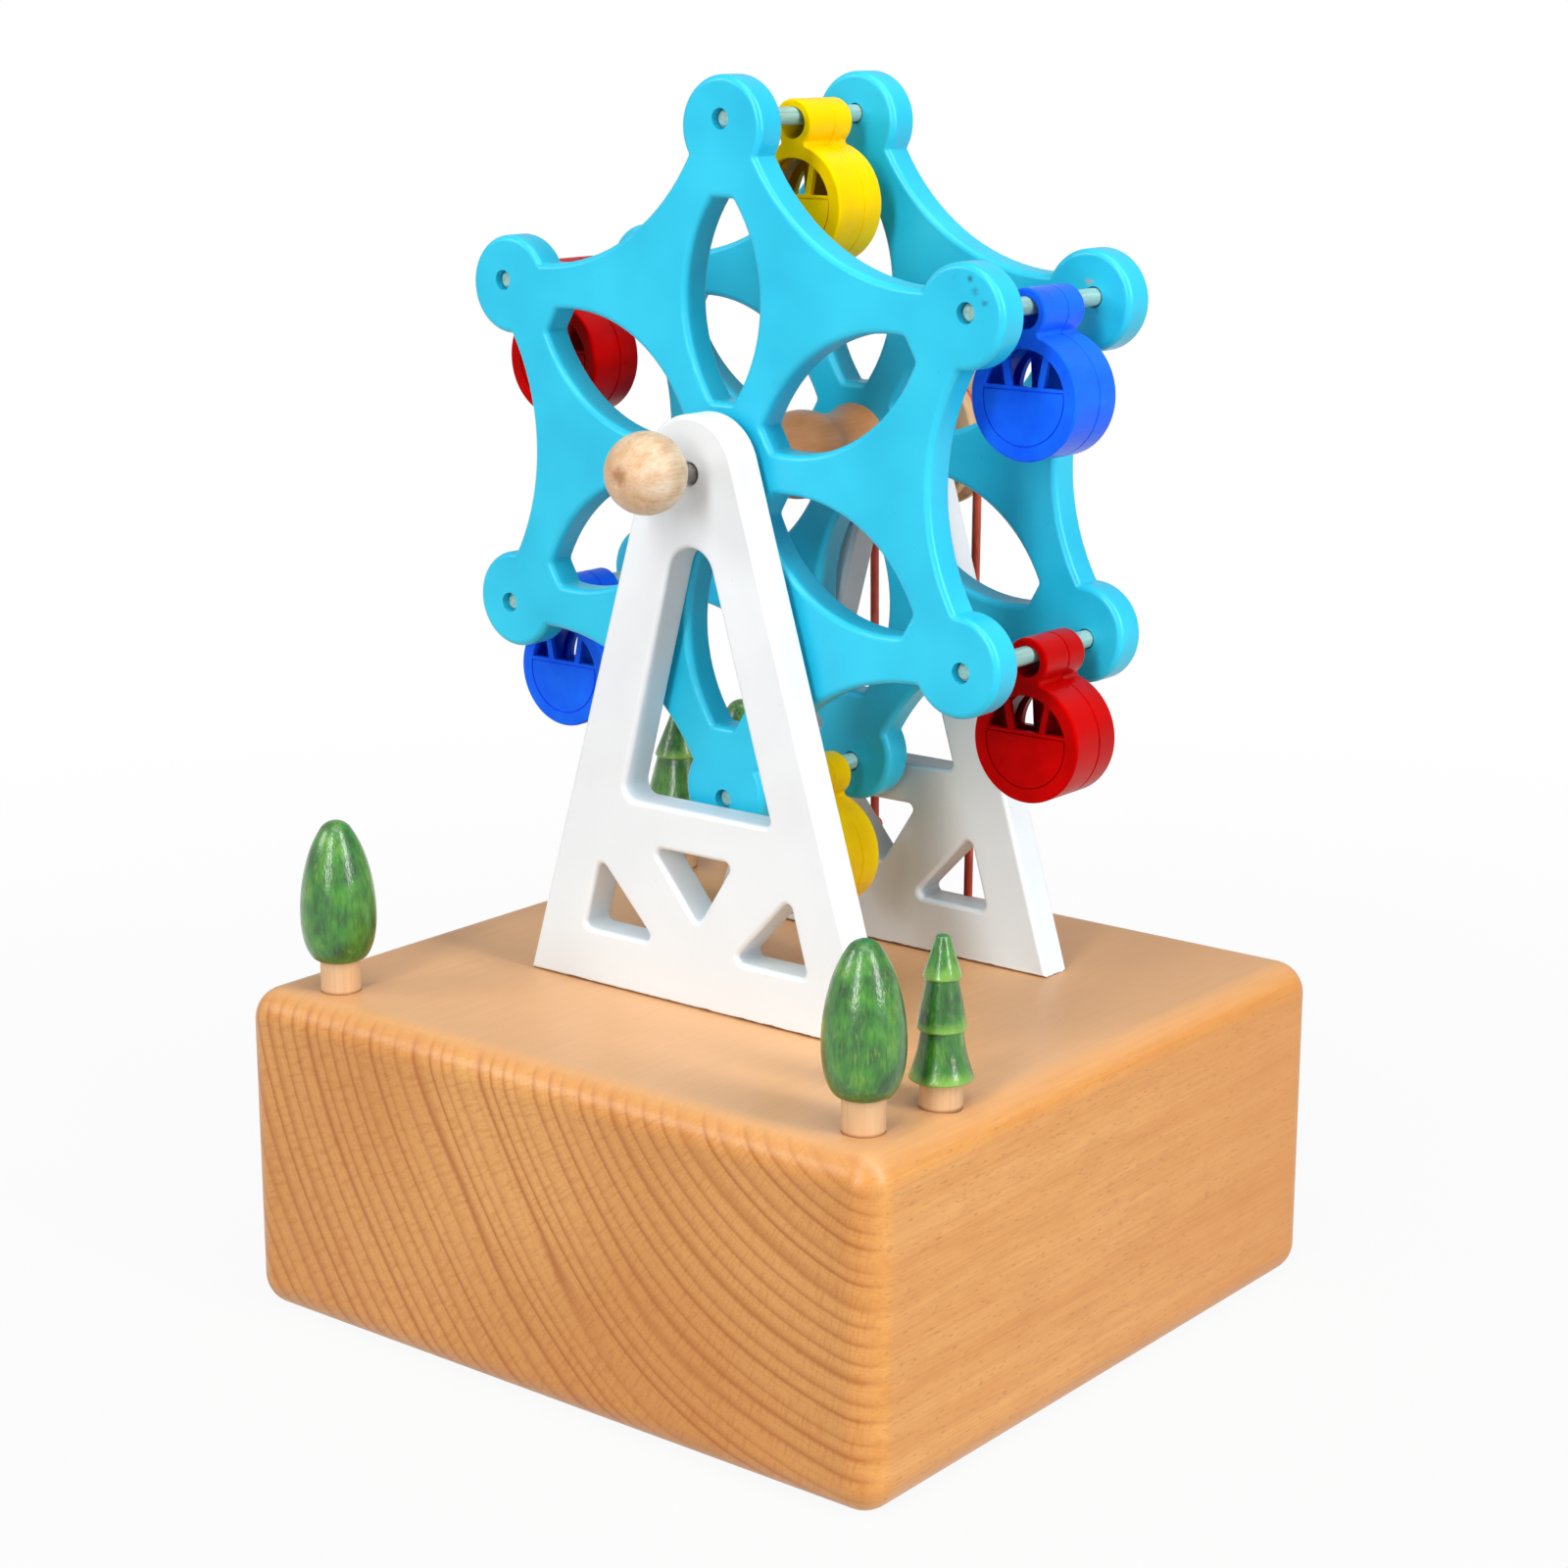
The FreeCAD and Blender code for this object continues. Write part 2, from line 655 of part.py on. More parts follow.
def frame(label, front_y):
    body = new_body(label, (as_size(0), front_y, dim.block_tall))
    face = new_sketch(body, "XZ_Plane")
    tapered_loop(face, -dim.foot_half, dim.foot_half, as_size(0), dim.axle_rise, dim.head_rad)
    tapered_loop(face, -dim.sill_left, dim.sill_right, dim.sill_rise,
                 dim.axle_rise - dim.arch_drop, dim.arch_rad)
    top_rise = dim.sill_rise - dim.crossbar_tall
    outline(face, [(-dim.middle_half, top_rise), (dim.middle_half, top_rise),
                   (dim.middle_tip_across, dim.middle_tip_rise)])
    outline(face, [(dim.side_inner, dim.side_rise), (dim.side_outer, dim.side_rise),
                   (dim.side_tip_across, dim.side_tip_rise)])
    outline(face, [(-dim.side_inner, dim.side_rise), (-dim.side_outer, dim.side_rise),
                   (-dim.side_tip_across, dim.side_tip_rise)])
    pad_back(body, face, dim.frame_thick)
    foot_edge = (dim.foot_half - dim.opening_round).number
    sill_left = dim.sill_left.number

    def is_left_sill(edge):
        centre = edge.BoundBox.Center
        return (runs_along(edge, ALONG_Y) and abs(centre.x + sill_left) < NEAR
                and abs(centre.z - dim.sill_rise.number) < NEAR)

    def is_opening_corner(edge):
        # the long sides meet the arches smoothly, so only edges below the sill's level are corners
        centre = edge.BoundBox.Center
        return (runs_along(edge, ALONG_Y) and abs(centre.x) < foot_edge
                and centre.z < dim.sill_rise.number + NEAR and not is_left_sill(edge))

    soften(body, dim.opening_round, is_opening_corner)
    soften(body, dim.sill_left_round, is_left_sill)
    soften(body, dim.frame_edge, flat_at("Y", 0, dim.frame_thick))
    bore = new_sketch(body, "XZ_Plane")
    circle(bore, 0, dim.axle_rise, dim.shaft_rad + dim.running_gap)
    through = feature(body, "Pocket", bore)
    through.Type = "ThroughAll"
    through.Midplane = True
    bore_reach = (dim.shaft_rad + dim.running_gap * 2).number
    soften(body, dim.bore_chamfer,
           lambda edge: flat_at("Y", 0, dim.frame_thick)(edge) and edge.BoundBox.XMax < bore_reach
           and edge.BoundBox.XMin > -bore_reach, "Chamfer", "Size")
    for side in (-dim.dowel_across, dim.dowel_across):
        drill(body, dim.dowel_rad + dim.dowel_gap, (side, dim.frame_thick / 2, as_size(0)),
              dim.dowel_long / 2)


def frame_dowels():
    pins = []
    for number, (across, along) in enumerate(dowel_spots()):
        dowel = doc.addObject("Part::Cylinder", f"frame_dowel_{number}")
        bind(dowel, "Radius", dim.dowel_rad)
        bind(dowel, "Height", dim.dowel_long - dim.dowel_gap * 2)
        put(dowel, (across, along, dim.block_tall - dim.dowel_long / 2 + dim.dowel_gap))
        pins.append(dowel)
    group = doc.addObject("Part::Compound", "frame_dowels")
    group.Links = pins
    pieces.append(group)


# ---- wheel ---------------------------------------------------------------------------------

def cut_through(body, sketch):
    cut = feature(body, "Pocket", sketch)
    cut.Type = "ThroughAll"
    cut.Midplane = True
    return cut


def disc(label, front_y):
    body = new_body(label, (as_size(0), front_y, axle_z))
    lobe_up = dim.pin_circle_rad - dim.lobe_inset
    plate = new_sketch(body, "XZ_Plane")
    circle(plate, 0, 0, lobe_up)
    pad_back(body, plate, dim.disc_thick)
    scoop = new_sketch(body, "XZ_Plane")
    circle(scoop, dim.waist_rad + dim.scoop_rad, 0, dim.scoop_rad)
    around_axle(body, cut_through(body, scoop), scoop, ARMS)
    lobe = new_sketch(body, "XZ_Plane")
    circle(lobe, 0, lobe_up, dim.lobe_rad)
    around_axle(body, pad_back(body, lobe, dim.disc_thick), lobe, ARMS)
    soften(body, dim.notch_round, lambda edge: runs_along(edge, ALONG_Y))
    lens = new_sketch(body, "XZ_Plane")
    outline(lens, [(-dim.lens_blunt_half, dim.lens_start, dim.lens_side_rad),
                   (dim.lens_blunt_half, dim.lens_start),
                   (dim.lens_blunt_half, dim.lens_end, dim.lens_side_rad),
                   (-dim.lens_blunt_half, dim.lens_end)])
    around_axle(body, cut_through(body, lens), lens, ARMS)
    lens_reach = (dim.lens_end + dim.lens_blunt_half / 2).number
    soften(body, dim.lens_tip_round,
           lambda edge: runs_along(edge, ALONG_Y)
           and math.hypot(edge.CenterOfMass.x, edge.CenterOfMass.z) < lens_reach)
    soften(body, dim.disc_edge, flat_at("Y", 0, dim.disc_thick))
    hole = new_sketch(body, "XZ_Plane")
    circle(hole, 0, dim.pin_circle_rad, dim.rod_rad + dim.rod_hole_gap)
    around_axle(body, cut_through(body, hole), hole, ARMS)
    bore = new_sketch(body, "XZ_Plane")
    circle(bore, 0, 0, press_rad)
    cut_through(body, bore)


def rod_place(angle):
    return dim.pin_circle_rad * cosine(angle), axle_z + dim.pin_circle_rad * sine(angle)


def cabin_rod(name, angle):
    across, up = rod_place(angle)
    start = front_disc_y + dim.rod_recess
    body = new_body(f"cabin_rod_{name}", (across, start, up))
    long = dim.disc_spacing + dim.disc_thick * 2 - dim.rod_recess * 2
    turned(body, "XY_Plane", [(0, 0), (dim.rod_rad, 0), (dim.rod_rad, long), (0, long)])
    soften(body, dim.rod_end_chamfer, flat_at("Y", 0, long), "Chamfer", "Size")


def wheel_shaft():
    start = knob_y + dim.knob_rad - dim.knob_bore_deep
    body = new_body("wheel_shaft", (as_size(0), start, axle_z))
    long = belt_y + dim.drive_thick / 2 + dim.drive_shaft_end - start
    turned(body, "XY_Plane", [(0, 0), (dim.shaft_rad, 0), (dim.shaft_rad, long), (0, long)])
    soften(body, dim.shaft_chamfer, flat_at("Y", 0, long), "Chamfer", "Size")


def axle_spindle():
    body = new_body("axle_spindle", (as_size(0), spindle_front, axle_z))
    bead_from = dim.disc_spacing / 2 - dim.spindle_bead_half
    bead_to = dim.disc_spacing / 2 + dim.spindle_bead_half
    turned(body, "XY_Plane", [
        (press_rad, 0),
        (dim.spindle_end_rad, 0),
        (dim.spindle_neck_rad, bead_from, -dim.spindle_waist_arc),
        (dim.spindle_neck_rad, bead_to, dim.spindle_bead_arc),
        (dim.spindle_end_rad, dim.disc_spacing, -dim.spindle_waist_arc),
        (press_rad, dim.disc_spacing)])


def crank_knob():
    body = new_body("crank_knob", (as_size(0), knob_y, axle_z + dim.knob_offset))
    flat_back = other_leg(dim.knob_flat_rad, dim.knob_rad)
    turned(body, "XY_Plane", [(0, -flat_back), (dim.knob_flat_rad, -flat_back),
                              (dim.knob_flat_rad, flat_back, dim.knob_rad), (0, flat_back)])
    bore_start = dim.knob_rad - dim.knob_bore_deep - dim.press_gap
    drill(body, press_rad, (as_size(0), bore_start, -dim.knob_offset),
          dim.knob_bore_deep + dim.press_gap * 2, TURN_TO_Y)


# ---- belt drive ----------------------------------------------------------------------------

def pulley(label, centre_z, bore, pitch, flange, thick):
    """A grooved wheel; the belt sits in the groove at the pitch radius."""
    body = new_body(label, (as_size(0), belt_y - thick / 2, centre_z))
    groove_foot = pitch - (dim.belt_rad + dim.belt_clearance) / sine(dim.groove_half_angle)
    half_mouth = (flange - groove_foot) * sine(dim.groove_half_angle) / cosine(dim.groove_half_angle)
    turned(body, "XY_Plane", [
        (bore, 0),
        (flange, 0),
        (flange, thick / 2 - half_mouth),
        (groove_foot, thick / 2),
        (flange, thick / 2 + half_mouth),
        (flange, thick),
        (bore, thick)])
    inside = (bore + dim.running_gap).number
    soften(body, dim.pulley_edge,
           lambda edge: flat_at("Y", 0, thick)(edge) and edge.BoundBox.XMax > inside)


def drive_belt():
    """A round belt, whole and tight about both pulleys, with a bead where its ends were joined."""
    body = new_body("drive_belt", (as_size(0), belt_y, worm_z))
    rise = axle_z - worm_z
    path = new_sketch(body, "XZ_Plane")
    wheels = ((rise, dim.drive_pitch_rad, 0, math.pi),
              (as_size(0), dim.driven_pitch_rad, math.pi, 2 * math.pi))
    upper, lower = [path.addGeometry(Part.ArcOfCircle(
        Part.Circle(FreeCAD.Vector(0, up.number, 0), FreeCAD.Vector(0, 0, 1), pitch.number), start, end))
        for up, pitch, start, end in wheels]
    runs = []
    for side in (1, -1):
        low = FreeCAD.Vector(side * dim.driven_pitch_rad.number, 0, 0)
        high = FreeCAD.Vector(side * dim.drive_pitch_rad.number, rise.number, 0)
        runs.append(path.addGeometry(Part.LineSegment(low, high)))
    for arc, (up, pitch, _, _) in zip((upper, lower), wheels):
        pin(path, arc, 3, 0, up)
        constrain(path, "Radius", arc, pitch.number, size=pitch)
    constrain(path, "Tangent", runs[0], 2, upper, 1)
    constrain(path, "Tangent", runs[1], 2, upper, 2)
    constrain(path, "Tangent", runs[1], 1, lower, 1)
    constrain(path, "Tangent", runs[0], 1, lower, 2)
    section = new_sketch(body, "XY_Plane")
    circle(section, dim.driven_pitch_rad, 0, dim.belt_rad)
    pipe = feature(body, "AdditivePipe", section)
    pipe.Spine = (path, ["Edge1", "Edge2", "Edge3", "Edge4"])
    up = dim.block_tall + dim.belt_joint_rise - worm_z
    across = dim.driven_pitch_rad + up * (dim.drive_pitch_rad - dim.driven_pitch_rad) / rise
    joint = feature(body, "AdditiveSphere", Radius=dim.belt_joint_rad)
    put(joint, (-across, as_size(0), up))


# ---- cabins --------------------------------------------------------------------------------

def window_outline(sketch, sill):
    """The part of the panel circle above the window sill."""
    radius = dim.drum_rad - dim.rim_wide
    reach = other_leg(sill, radius)
    up = sill - dim.drum_drop
    outline(sketch, [(-reach, up, radius), (reach, up)])


def panel_outline(sketch, sill, inset):
    """The D-shaped lower part of the panel circle, shrunk by inset."""
    radius = dim.drum_rad - dim.rim_wide - inset
    level = sill - dim.panel_below_sill - inset
    reach = other_leg(level, radius)
    up = level - dim.drum_drop
    outline(sketch, [(-reach, up), (as_size(0), -dim.drum_drop - radius, radius), (reach, up, radius)])


def cabin_shell(label, place, turn, long, is_back):
    """Half of a cabin, with its face at y 0 and its open side at y long; the rod is at the origin.

    The front has two thin struts in its window; the back has one broad pillar and the joining lip.
    """
    body = new_body(label, place, turn)
    if is_back:
        sill = dim.back_sill_rise
        bars = [(as_size(0), dim.pillar_foot_half, as_size(0), dim.pillar_head_half)]
    else:
        sill = dim.front_sill_rise
        bars = [(dim.strut_foot_across * side, dim.strut_half_wide,
                 dim.strut_head_across * side, dim.strut_half_wide) for side in (-1, 1)]
    for up, radius in ((-tube_drop, dim.tube_rad), (-dim.drum_drop, dim.drum_rad)):
        face = new_sketch(body, "XZ_Plane")
        circle(face, 0, up, radius)
        pad_back(body, face, long)
    soften(body, dim.neck_blend, lambda edge: runs_along(edge, ALONG_Y) and abs(edge.CenterOfMass.x) > NEAR)
    soften(body, dim.shell_edge, flat_at("Y", 0))
    soften(body, dim.seam_chamfer, flat_at("Y", long), "Chamfer", "Size")
    inner_rad = dim.drum_rad - dim.shell_wall
    drill(body, inner_rad, (as_size(0), dim.shell_wall, -dim.drum_drop), long - dim.shell_wall, TURN_TO_Y)
    drill(body, dim.tube_hole_rad, (as_size(0), as_size(0), -tube_drop), long, TURN_TO_Y)
    window = new_sketch(body, "XZ_Plane")
    window_outline(window, sill)
    feature(body, "Pocket", window, Length=dim.shell_wall)
    for foot, foot_half, head, head_half in bars:
        bar = new_sketch(body, "XZ_Plane", -dim.strut_recess)
        low = sill - dim.panel_below_sill - dim.drum_drop
        high = dim.drum_rad - dim.rim_wide / 2 - dim.drum_drop - dim.strut_head_drop
        outline(bar, [(foot - foot_half, low), (foot + foot_half, low),
                      (head + head_half, high), (head - head_half, high)])
        pad_back(body, bar, dim.shell_wall - dim.strut_recess)
    groove = new_sketch(body, "XZ_Plane")
    panel_outline(groove, sill, as_size(0))
    feature(body, "Pocket", groove, Length=dim.panel_groove_deep)
    island = new_sketch(body, "XZ_Plane")
    panel_outline(island, sill, dim.panel_groove_wide)
    pad_back(body, island, dim.panel_groove_deep)
    if is_back:
        outer = inner_rad - dim.lip_gap
        root = new_sketch(body, "XZ_Plane", -(long - dim.lip_root))
        circle(root, 0, -dim.drum_drop, inner_rad + dim.lip_gap)
        circle(root, 0, -dim.drum_drop, outer - dim.lip_wall)
        pad_back(body, root, dim.lip_root)
        lip = new_sketch(body, "XZ_Plane", -(long - dim.lip_root))
        circle(lip, 0, -dim.drum_drop, outer)
        circle(lip, 0, -dim.drum_drop, outer - dim.lip_wall)
        pad_back(body, lip, dim.lip_root + dim.lip_long)


def cabin(name, angle, gap):
    across, up = rod_place(angle)
    front = spindle_front + gap
    seam = dim.cabin_front_part
    cabin_shell(f"cabin_{name}_front", (across, front, up), UPRIGHT, seam, False)
    cabin_shell(f"cabin_{name}_back", (across, front + dim.cabin_deep, up), ABOUT_FACE,
                dim.cabin_deep - seam, True)


# ---- trees ---------------------------------------------------------------------------------

def bulge(spread, reach):
    """Radius of an arc that starts along its reach and has spread sideways by its end."""
    return (spread * spread + reach * reach) / (spread * 2)


def egg_crown(body):
    below = bulge(dim.egg_belly_rad - dim.egg_foot_rad, dim.egg_belly_rise)
    above = bulge(dim.egg_belly_rad - dim.egg_shoulder_rad, dim.egg_shoulder_rise - dim.egg_belly_rise)
    tip = bulge(dim.egg_tall - dim.egg_tip_rise, dim.egg_tip_rad)
    turned(body, "XZ_Plane", [
        (0, 0),
        (dim.egg_foot_rad, 0),
        (dim.egg_belly_rad, dim.egg_belly_rise, below),
        (dim.egg_shoulder_rad, dim.egg_shoulder_rise, above),
        (dim.egg_tip_rad, dim.egg_tip_rise, dim.egg_shoulder_arc),
        (0, dim.egg_tall, tip)])
    soften(body, dim.egg_foot_round, flat_at("Z", 0))


def fir_crown(body, tall, upper_rise, lower_rise, upper_rad, middle_rad, lower_rad):
    turned(body, "XZ_Plane", [
        (0, 0),
        (lower_rad, 0),
        (middle_rad - dim.fir_tier_step, lower_rise, -dim.fir_skirt_arc),
        (middle_rad, lower_rise),
        (upper_rad - dim.fir_tier_step, upper_rise),
        (upper_rad, upper_rise),
        (dim.fir_top_rad, tall),
        (0, tall)])

    def is_rim(edge):
        tiers = ((0, lower_rad), (lower_rise, middle_rad), (upper_rise, upper_rad), (tall, dim.fir_top_rad))
        return any(flat_at("Z", level)(edge) and abs(edge.BoundBox.XMax - radius.number) < NEAR
                   for level, radius in tiers)

    soften(body, dim.fir_tier_round, is_rim)


def tree(name, across, along, bare, shape):
    crown = new_body(f"tree_crown_{name}", (across, along, dim.block_tall + bare))
    if shape == "egg":
        egg_crown(crown)
    elif shape == "small_fir":
        fir_crown(crown, dim.small_fir_tall, dim.small_fir_upper_rise, dim.small_fir_lower_rise,
                  dim.small_fir_upper_rad, dim.small_fir_middle_rad, dim.small_fir_lower_rad)
    else:
        fir_crown(crown, dim.large_fir_tall, dim.large_fir_upper_rise, dim.large_fir_lower_rise,
                  dim.large_fir_upper_rad, dim.large_fir_middle_rad, dim.large_fir_lower_rad)
    drill(crown, dim.trunk_rad + dim.trunk_gap, ORIGIN, dim.trunk_in_crown)
    foot_z = dim.block_tall - dim.trunk_in_block + dim.trunk_gap
    trunk = new_body(f"tree_trunk_{name}", (across, along, foot_z))
    long = dim.trunk_in_block + bare + dim.trunk_in_crown - dim.trunk_gap * 2
    drill(trunk, dim.trunk_rad, ORIGIN, long, kind="AdditiveCylinder")
    soften(trunk, dim.trunk_chamfer, flat_at("Z", 0, long), "Chamfer", "Size")


# ---- music movement inside the block -------------------------------------------------------

def worm_shaft():
    """Single-start right-handed worm on the shaft that the driven pulley turns."""
    front = -dim.worm_long / 2 - dim.post_gap - dim.post_thick
    body = new_body("worm_shaft", (as_size(0), dim.movement_y, worm_z), TURN_TO_Y)
    drill(body, dim.worm_shaft_rad, (as_size(0), as_size(0), front),
          belt_y - dim.movement_y + dim.driven_thick / 2 - front, kind="AdditiveCylinder")
    drill(body, dim.worm_rad, (as_size(0), as_size(0), -dim.worm_long / 2), dim.worm_long,
          kind="AdditiveCylinder")
    half = dim.worm_pitch / 4
    start = -dim.worm_long / 2 + dim.worm_pitch / 2
    thread = new_sketch(body, "XZ_Plane")
    outer = dim.worm_rad + dim.running_gap
    outline(thread, [(outer, start - half), (outer, start + half),
                     (dim.worm_rad - dim.worm_thread_deep, start)])
    cut = feature(body, "SubtractiveHelix", thread, Pitch=dim.worm_pitch,
                  Height=dim.worm_long - dim.worm_pitch)
    cut.ReferenceAxis = (thread, ["V_Axis"])
    cut.Mode = 0


def cylinder_gear():
    body = new_body("cylinder_gear", (-dim.gear_thick / 2, dim.movement_y, cylinder_z), TURN_TO_X)
    drill(body, dim.gear_rad, ORIGIN, dim.gear_thick, kind="AdditiveCylinder")
    gap = new_sketch(body, "XY_Plane")
    mouth = dim.gear_rad * sine(90 / DRIVING_SIZES["gear_teeth"])
    outer = dim.gear_rad + dim.mesh_gap
    outline(gap, [(-mouth / 2, dim.gear_rad - dim.tooth_deep), (mouth / 2, dim.gear_rad - dim.tooth_deep),
                  (mouth, outer), (-mouth, outer)])
    around_axle(body, cut_through(body, gap), gap, dim.gear_teeth)
    drill(body, dim.worm_shaft_rad + dim.press_gap, ORIGIN, dim.gear_thick)


def cylinder_start():
    return dim.gear_thick / 2 + dim.cylinder_gap


def music_cylinder():
    """Drum on an arbor that also carries its gear; the arbor runs in the two side posts."""
    left = dim.gear_thick / 2 + dim.post_gap + dim.post_thick
    body = new_body("music_cylinder", (-left, dim.movement_y, cylinder_z), TURN_TO_X)
    drum_at = left + cylinder_start()
    long = drum_at + dim.cylinder_long + dim.post_gap + dim.post_thick
    drill(body, dim.cylinder_rad, (as_size(0), as_size(0), drum_at), dim.cylinder_long,
          kind="AdditiveCylinder")
    soften(body, dim.cylinder_edge, lambda edge: True, "Chamfer", "Size")
    drill(body, dim.worm_shaft_rad, ORIGIN, long, kind="AdditiveCylinder")


def comb_rear():
    return dim.movement_y - dim.cylinder_rad - dim.comb_gap - dim.comb_deep


def comb_screw_spots():
    middle = cylinder_start() + dim.cylinder_long / 2
    along = comb_rear() + dim.comb_screw_back
    return [(middle - dim.comb_screw_across, along), (middle + dim.comb_screw_across, along)]


def music_comb():
    body = new_body("music_comb")
    left = cylinder_start()
    right = left + dim.cylinder_long
    tips = comb_rear() + dim.comb_deep
    low = cylinder_z - dim.comb_thick / 2
    block(body, "AdditiveBox", (left, comb_rear(), low), (right, tips, low + dim.comb_thick))
    pitch = dim.cylinder_long / dim.comb_teeth
    first = left + pitch - dim.comb_slot / 2
    slot = block(body, "SubtractiveBox", (first, tips - dim.comb_tooth_long, low),
                 (first + dim.comb_slot, tips, low + dim.comb_thick))
    row = feature(body, "LinearPattern", Length=pitch * (dim.comb_teeth - 2),
                  Occurrences=dim.comb_teeth - 1)
    row.Originals = [slot]
    row.Direction = (next(item for item in body.Origin.OriginFeatures if item.Role == "X_Axis"), [""])
    body.Tip = row
    for across, along in comb_screw_spots():
        drill(body, dim.small_screw_rad + dim.screw_gap, (across, along, low), dim.comb_thick)


def movement_bed():
    """Cast bed that hangs from the block's ceiling with its posts down."""
    body = new_body("movement_bed")
    block(body, "AdditiveBox", (-dim.bed_left, -dim.bed_front, bed_z),
          (dim.bed_right, dim.bed_back, ceiling_z))
    worm_reach = dim.worm_long / 2 + dim.post_gap
    foot = worm_z - dim.post_half_wide
    for y in (dim.movement_y - worm_reach - dim.post_thick, dim.movement_y + worm_reach):
        block(body, "AdditiveBox", (-dim.post_half_wide, y, foot),
              (dim.post_half_wide, y + dim.post_thick, bed_z))
    left = -dim.gear_thick / 2 - dim.post_gap - dim.post_thick
    right = cylinder_start() + dim.cylinder_long + dim.post_gap
    for x in (left, right):
        block(body, "AdditiveBox",
              (x, dim.movement_y - dim.post_half_wide, cylinder_z - dim.post_half_wide),
              (x + dim.post_thick, dim.movement_y + dim.post_half_wide, bed_z))
    seat_left = cylinder_start()
    block(body, "AdditiveBox", (seat_left, comb_rear(), cylinder_z + dim.comb_thick / 2),
          (seat_left + dim.cylinder_long, comb_rear() + dim.comb_seat_deep, bed_z))
    bearing = dim.worm_shaft_rad + dim.bearing_gap
    drill(body, bearing, (as_size(0), dim.movement_y - worm_reach - dim.post_thick, worm_z),
          (worm_reach + dim.post_thick) * 2, TURN_TO_Y)
    drill(body, bearing, (left, dim.movement_y, cylinder_z), right + dim.post_thick - left, TURN_TO_X)
    for across, along in bed_screw_spots():
        drill(body, dim.small_screw_rad + dim.screw_gap, (across, along, bed_z), dim.bed_thick)
    for across, along in comb_screw_spots():
        drill(body, dim.small_screw_rad + dim.press_gap, (across, along, cylinder_z + dim.comb_thick / 2),
              dim.small_screw_long)


# ---- assembly ------------------------------------------------------------------------------

base_block()
bottom_plate()
screws("bottom_plate_screws", plate_screw_spots(), as_size(0), dim.plate_screw_long, dim.plate_screw_rad,
       dim.plate_screw_head_rad, dim.plate_screw_head_tall, True)
frame("front_frame", front_frame_y)
frame("rear_frame", rear_frame_y)
frame_dowels()
for tree_name, tree_values in TREES.items():
    tree(tree_name, *tree_values)
disc("front_disc", front_disc_y)
disc("rear_disc", rear_disc_y)
wheel_shaft()
axle_spindle()
crank_knob()
for cabin_name, (rod_angle, bare_rod) in CABINS.items():
    cabin_rod(cabin_name, rod_angle)
    cabin(cabin_name, rod_angle, bare_rod)
pulley("drive_pulley", axle_z, press_rad, dim.drive_pitch_rad, dim.drive_flange_rad, dim.drive_thick)
pulley("driven_pulley", worm_z, dim.worm_shaft_rad + dim.press_gap, dim.driven_pitch_rad,
       dim.driven_flange_rad, dim.driven_thick)
drive_belt()
worm_shaft()
cylinder_gear()
music_cylinder()
music_comb()
movement_bed()
small_screw = (dim.small_screw_long, dim.small_screw_rad, dim.small_screw_head_rad,
               dim.small_screw_head_tall, False)
screws("comb_screws", comb_screw_spots(),
       cylinder_z - dim.comb_thick / 2 - dim.small_screw_head_tall, *small_screw)
screws("movement_screws", bed_screw_spots(), bed_z - dim.small_screw_head_tall, *small_screw)

doc.recompute()
for item in doc.Objects:
    if "Invalid" in item.State or "Error" in item.State:
        raise RuntimeError(f"{item.Label} failed: {item.State}")
for piece in pieces:
    if piece.Shape.isNull() or not piece.Shape.isValid():
        raise RuntimeError(f"{piece.Label} has no valid shape")
os.makedirs("parts", exist_ok=True)
for piece in pieces:
    piece.Shape.exportStep(f"parts/{piece.Label}.step")
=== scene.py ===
import json
import math
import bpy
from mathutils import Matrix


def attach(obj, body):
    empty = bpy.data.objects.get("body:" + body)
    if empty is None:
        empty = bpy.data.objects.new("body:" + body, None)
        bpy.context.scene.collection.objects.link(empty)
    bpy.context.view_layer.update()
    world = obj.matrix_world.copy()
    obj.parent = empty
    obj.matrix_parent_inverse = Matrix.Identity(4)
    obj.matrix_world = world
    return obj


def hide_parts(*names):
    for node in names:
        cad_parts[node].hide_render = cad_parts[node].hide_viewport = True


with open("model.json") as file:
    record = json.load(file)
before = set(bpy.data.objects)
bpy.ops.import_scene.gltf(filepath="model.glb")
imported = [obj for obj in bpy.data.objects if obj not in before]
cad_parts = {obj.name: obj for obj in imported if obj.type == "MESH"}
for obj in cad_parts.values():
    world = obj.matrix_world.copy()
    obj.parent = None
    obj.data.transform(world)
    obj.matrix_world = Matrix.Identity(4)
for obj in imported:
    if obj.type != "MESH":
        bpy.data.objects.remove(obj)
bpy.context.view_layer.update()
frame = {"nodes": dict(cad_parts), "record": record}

from types import SimpleNamespace

import bpy
from mathutils import Vector

MM = 0.001
ALONG_Y = (0, 1, 0)
ALONG_Z = (0, 0, 1)
# turns a pattern whose grain runs along Y until its grain stands up
GRAIN_UP = (math.pi / 2, 0, 0)

# places and heights in millimetres, from the middle of the block's underside
BLOCK_TOP = 51.2
# the pith of the log that the block was sawn from runs outside the block
BLOCK_PITH = (65, 0, 78)
BALL_FRONT = (0, -36.98, 131.8)
# the lower rims of the tiers of the two firs
SMALL_FIR_RIMS = (55.2, 62.2, 69.3)
LARGE_FIR_RIMS = (55.4, 63.0, 70.9)
# worn spots on the blue discs, each a centre, a radius and a colour: thumb marks on one lobe, and last
# a spot of bare wood beside one rod
WORN_SPOTS = (
    ((43.3, -14.85, 159.9), 0.5, "#0F4354"), ((44.1, -14.85, 158.2), 0.55, "#1F8099"),
    ((45.6, -14.85, 156.7), 0.5, "#1C7790"), ((40.7, -14.85, 160.0), 0.4, "#2194B2"),
    ((41.8, 16.2, 157.2), 0.6, "#BF9568"))

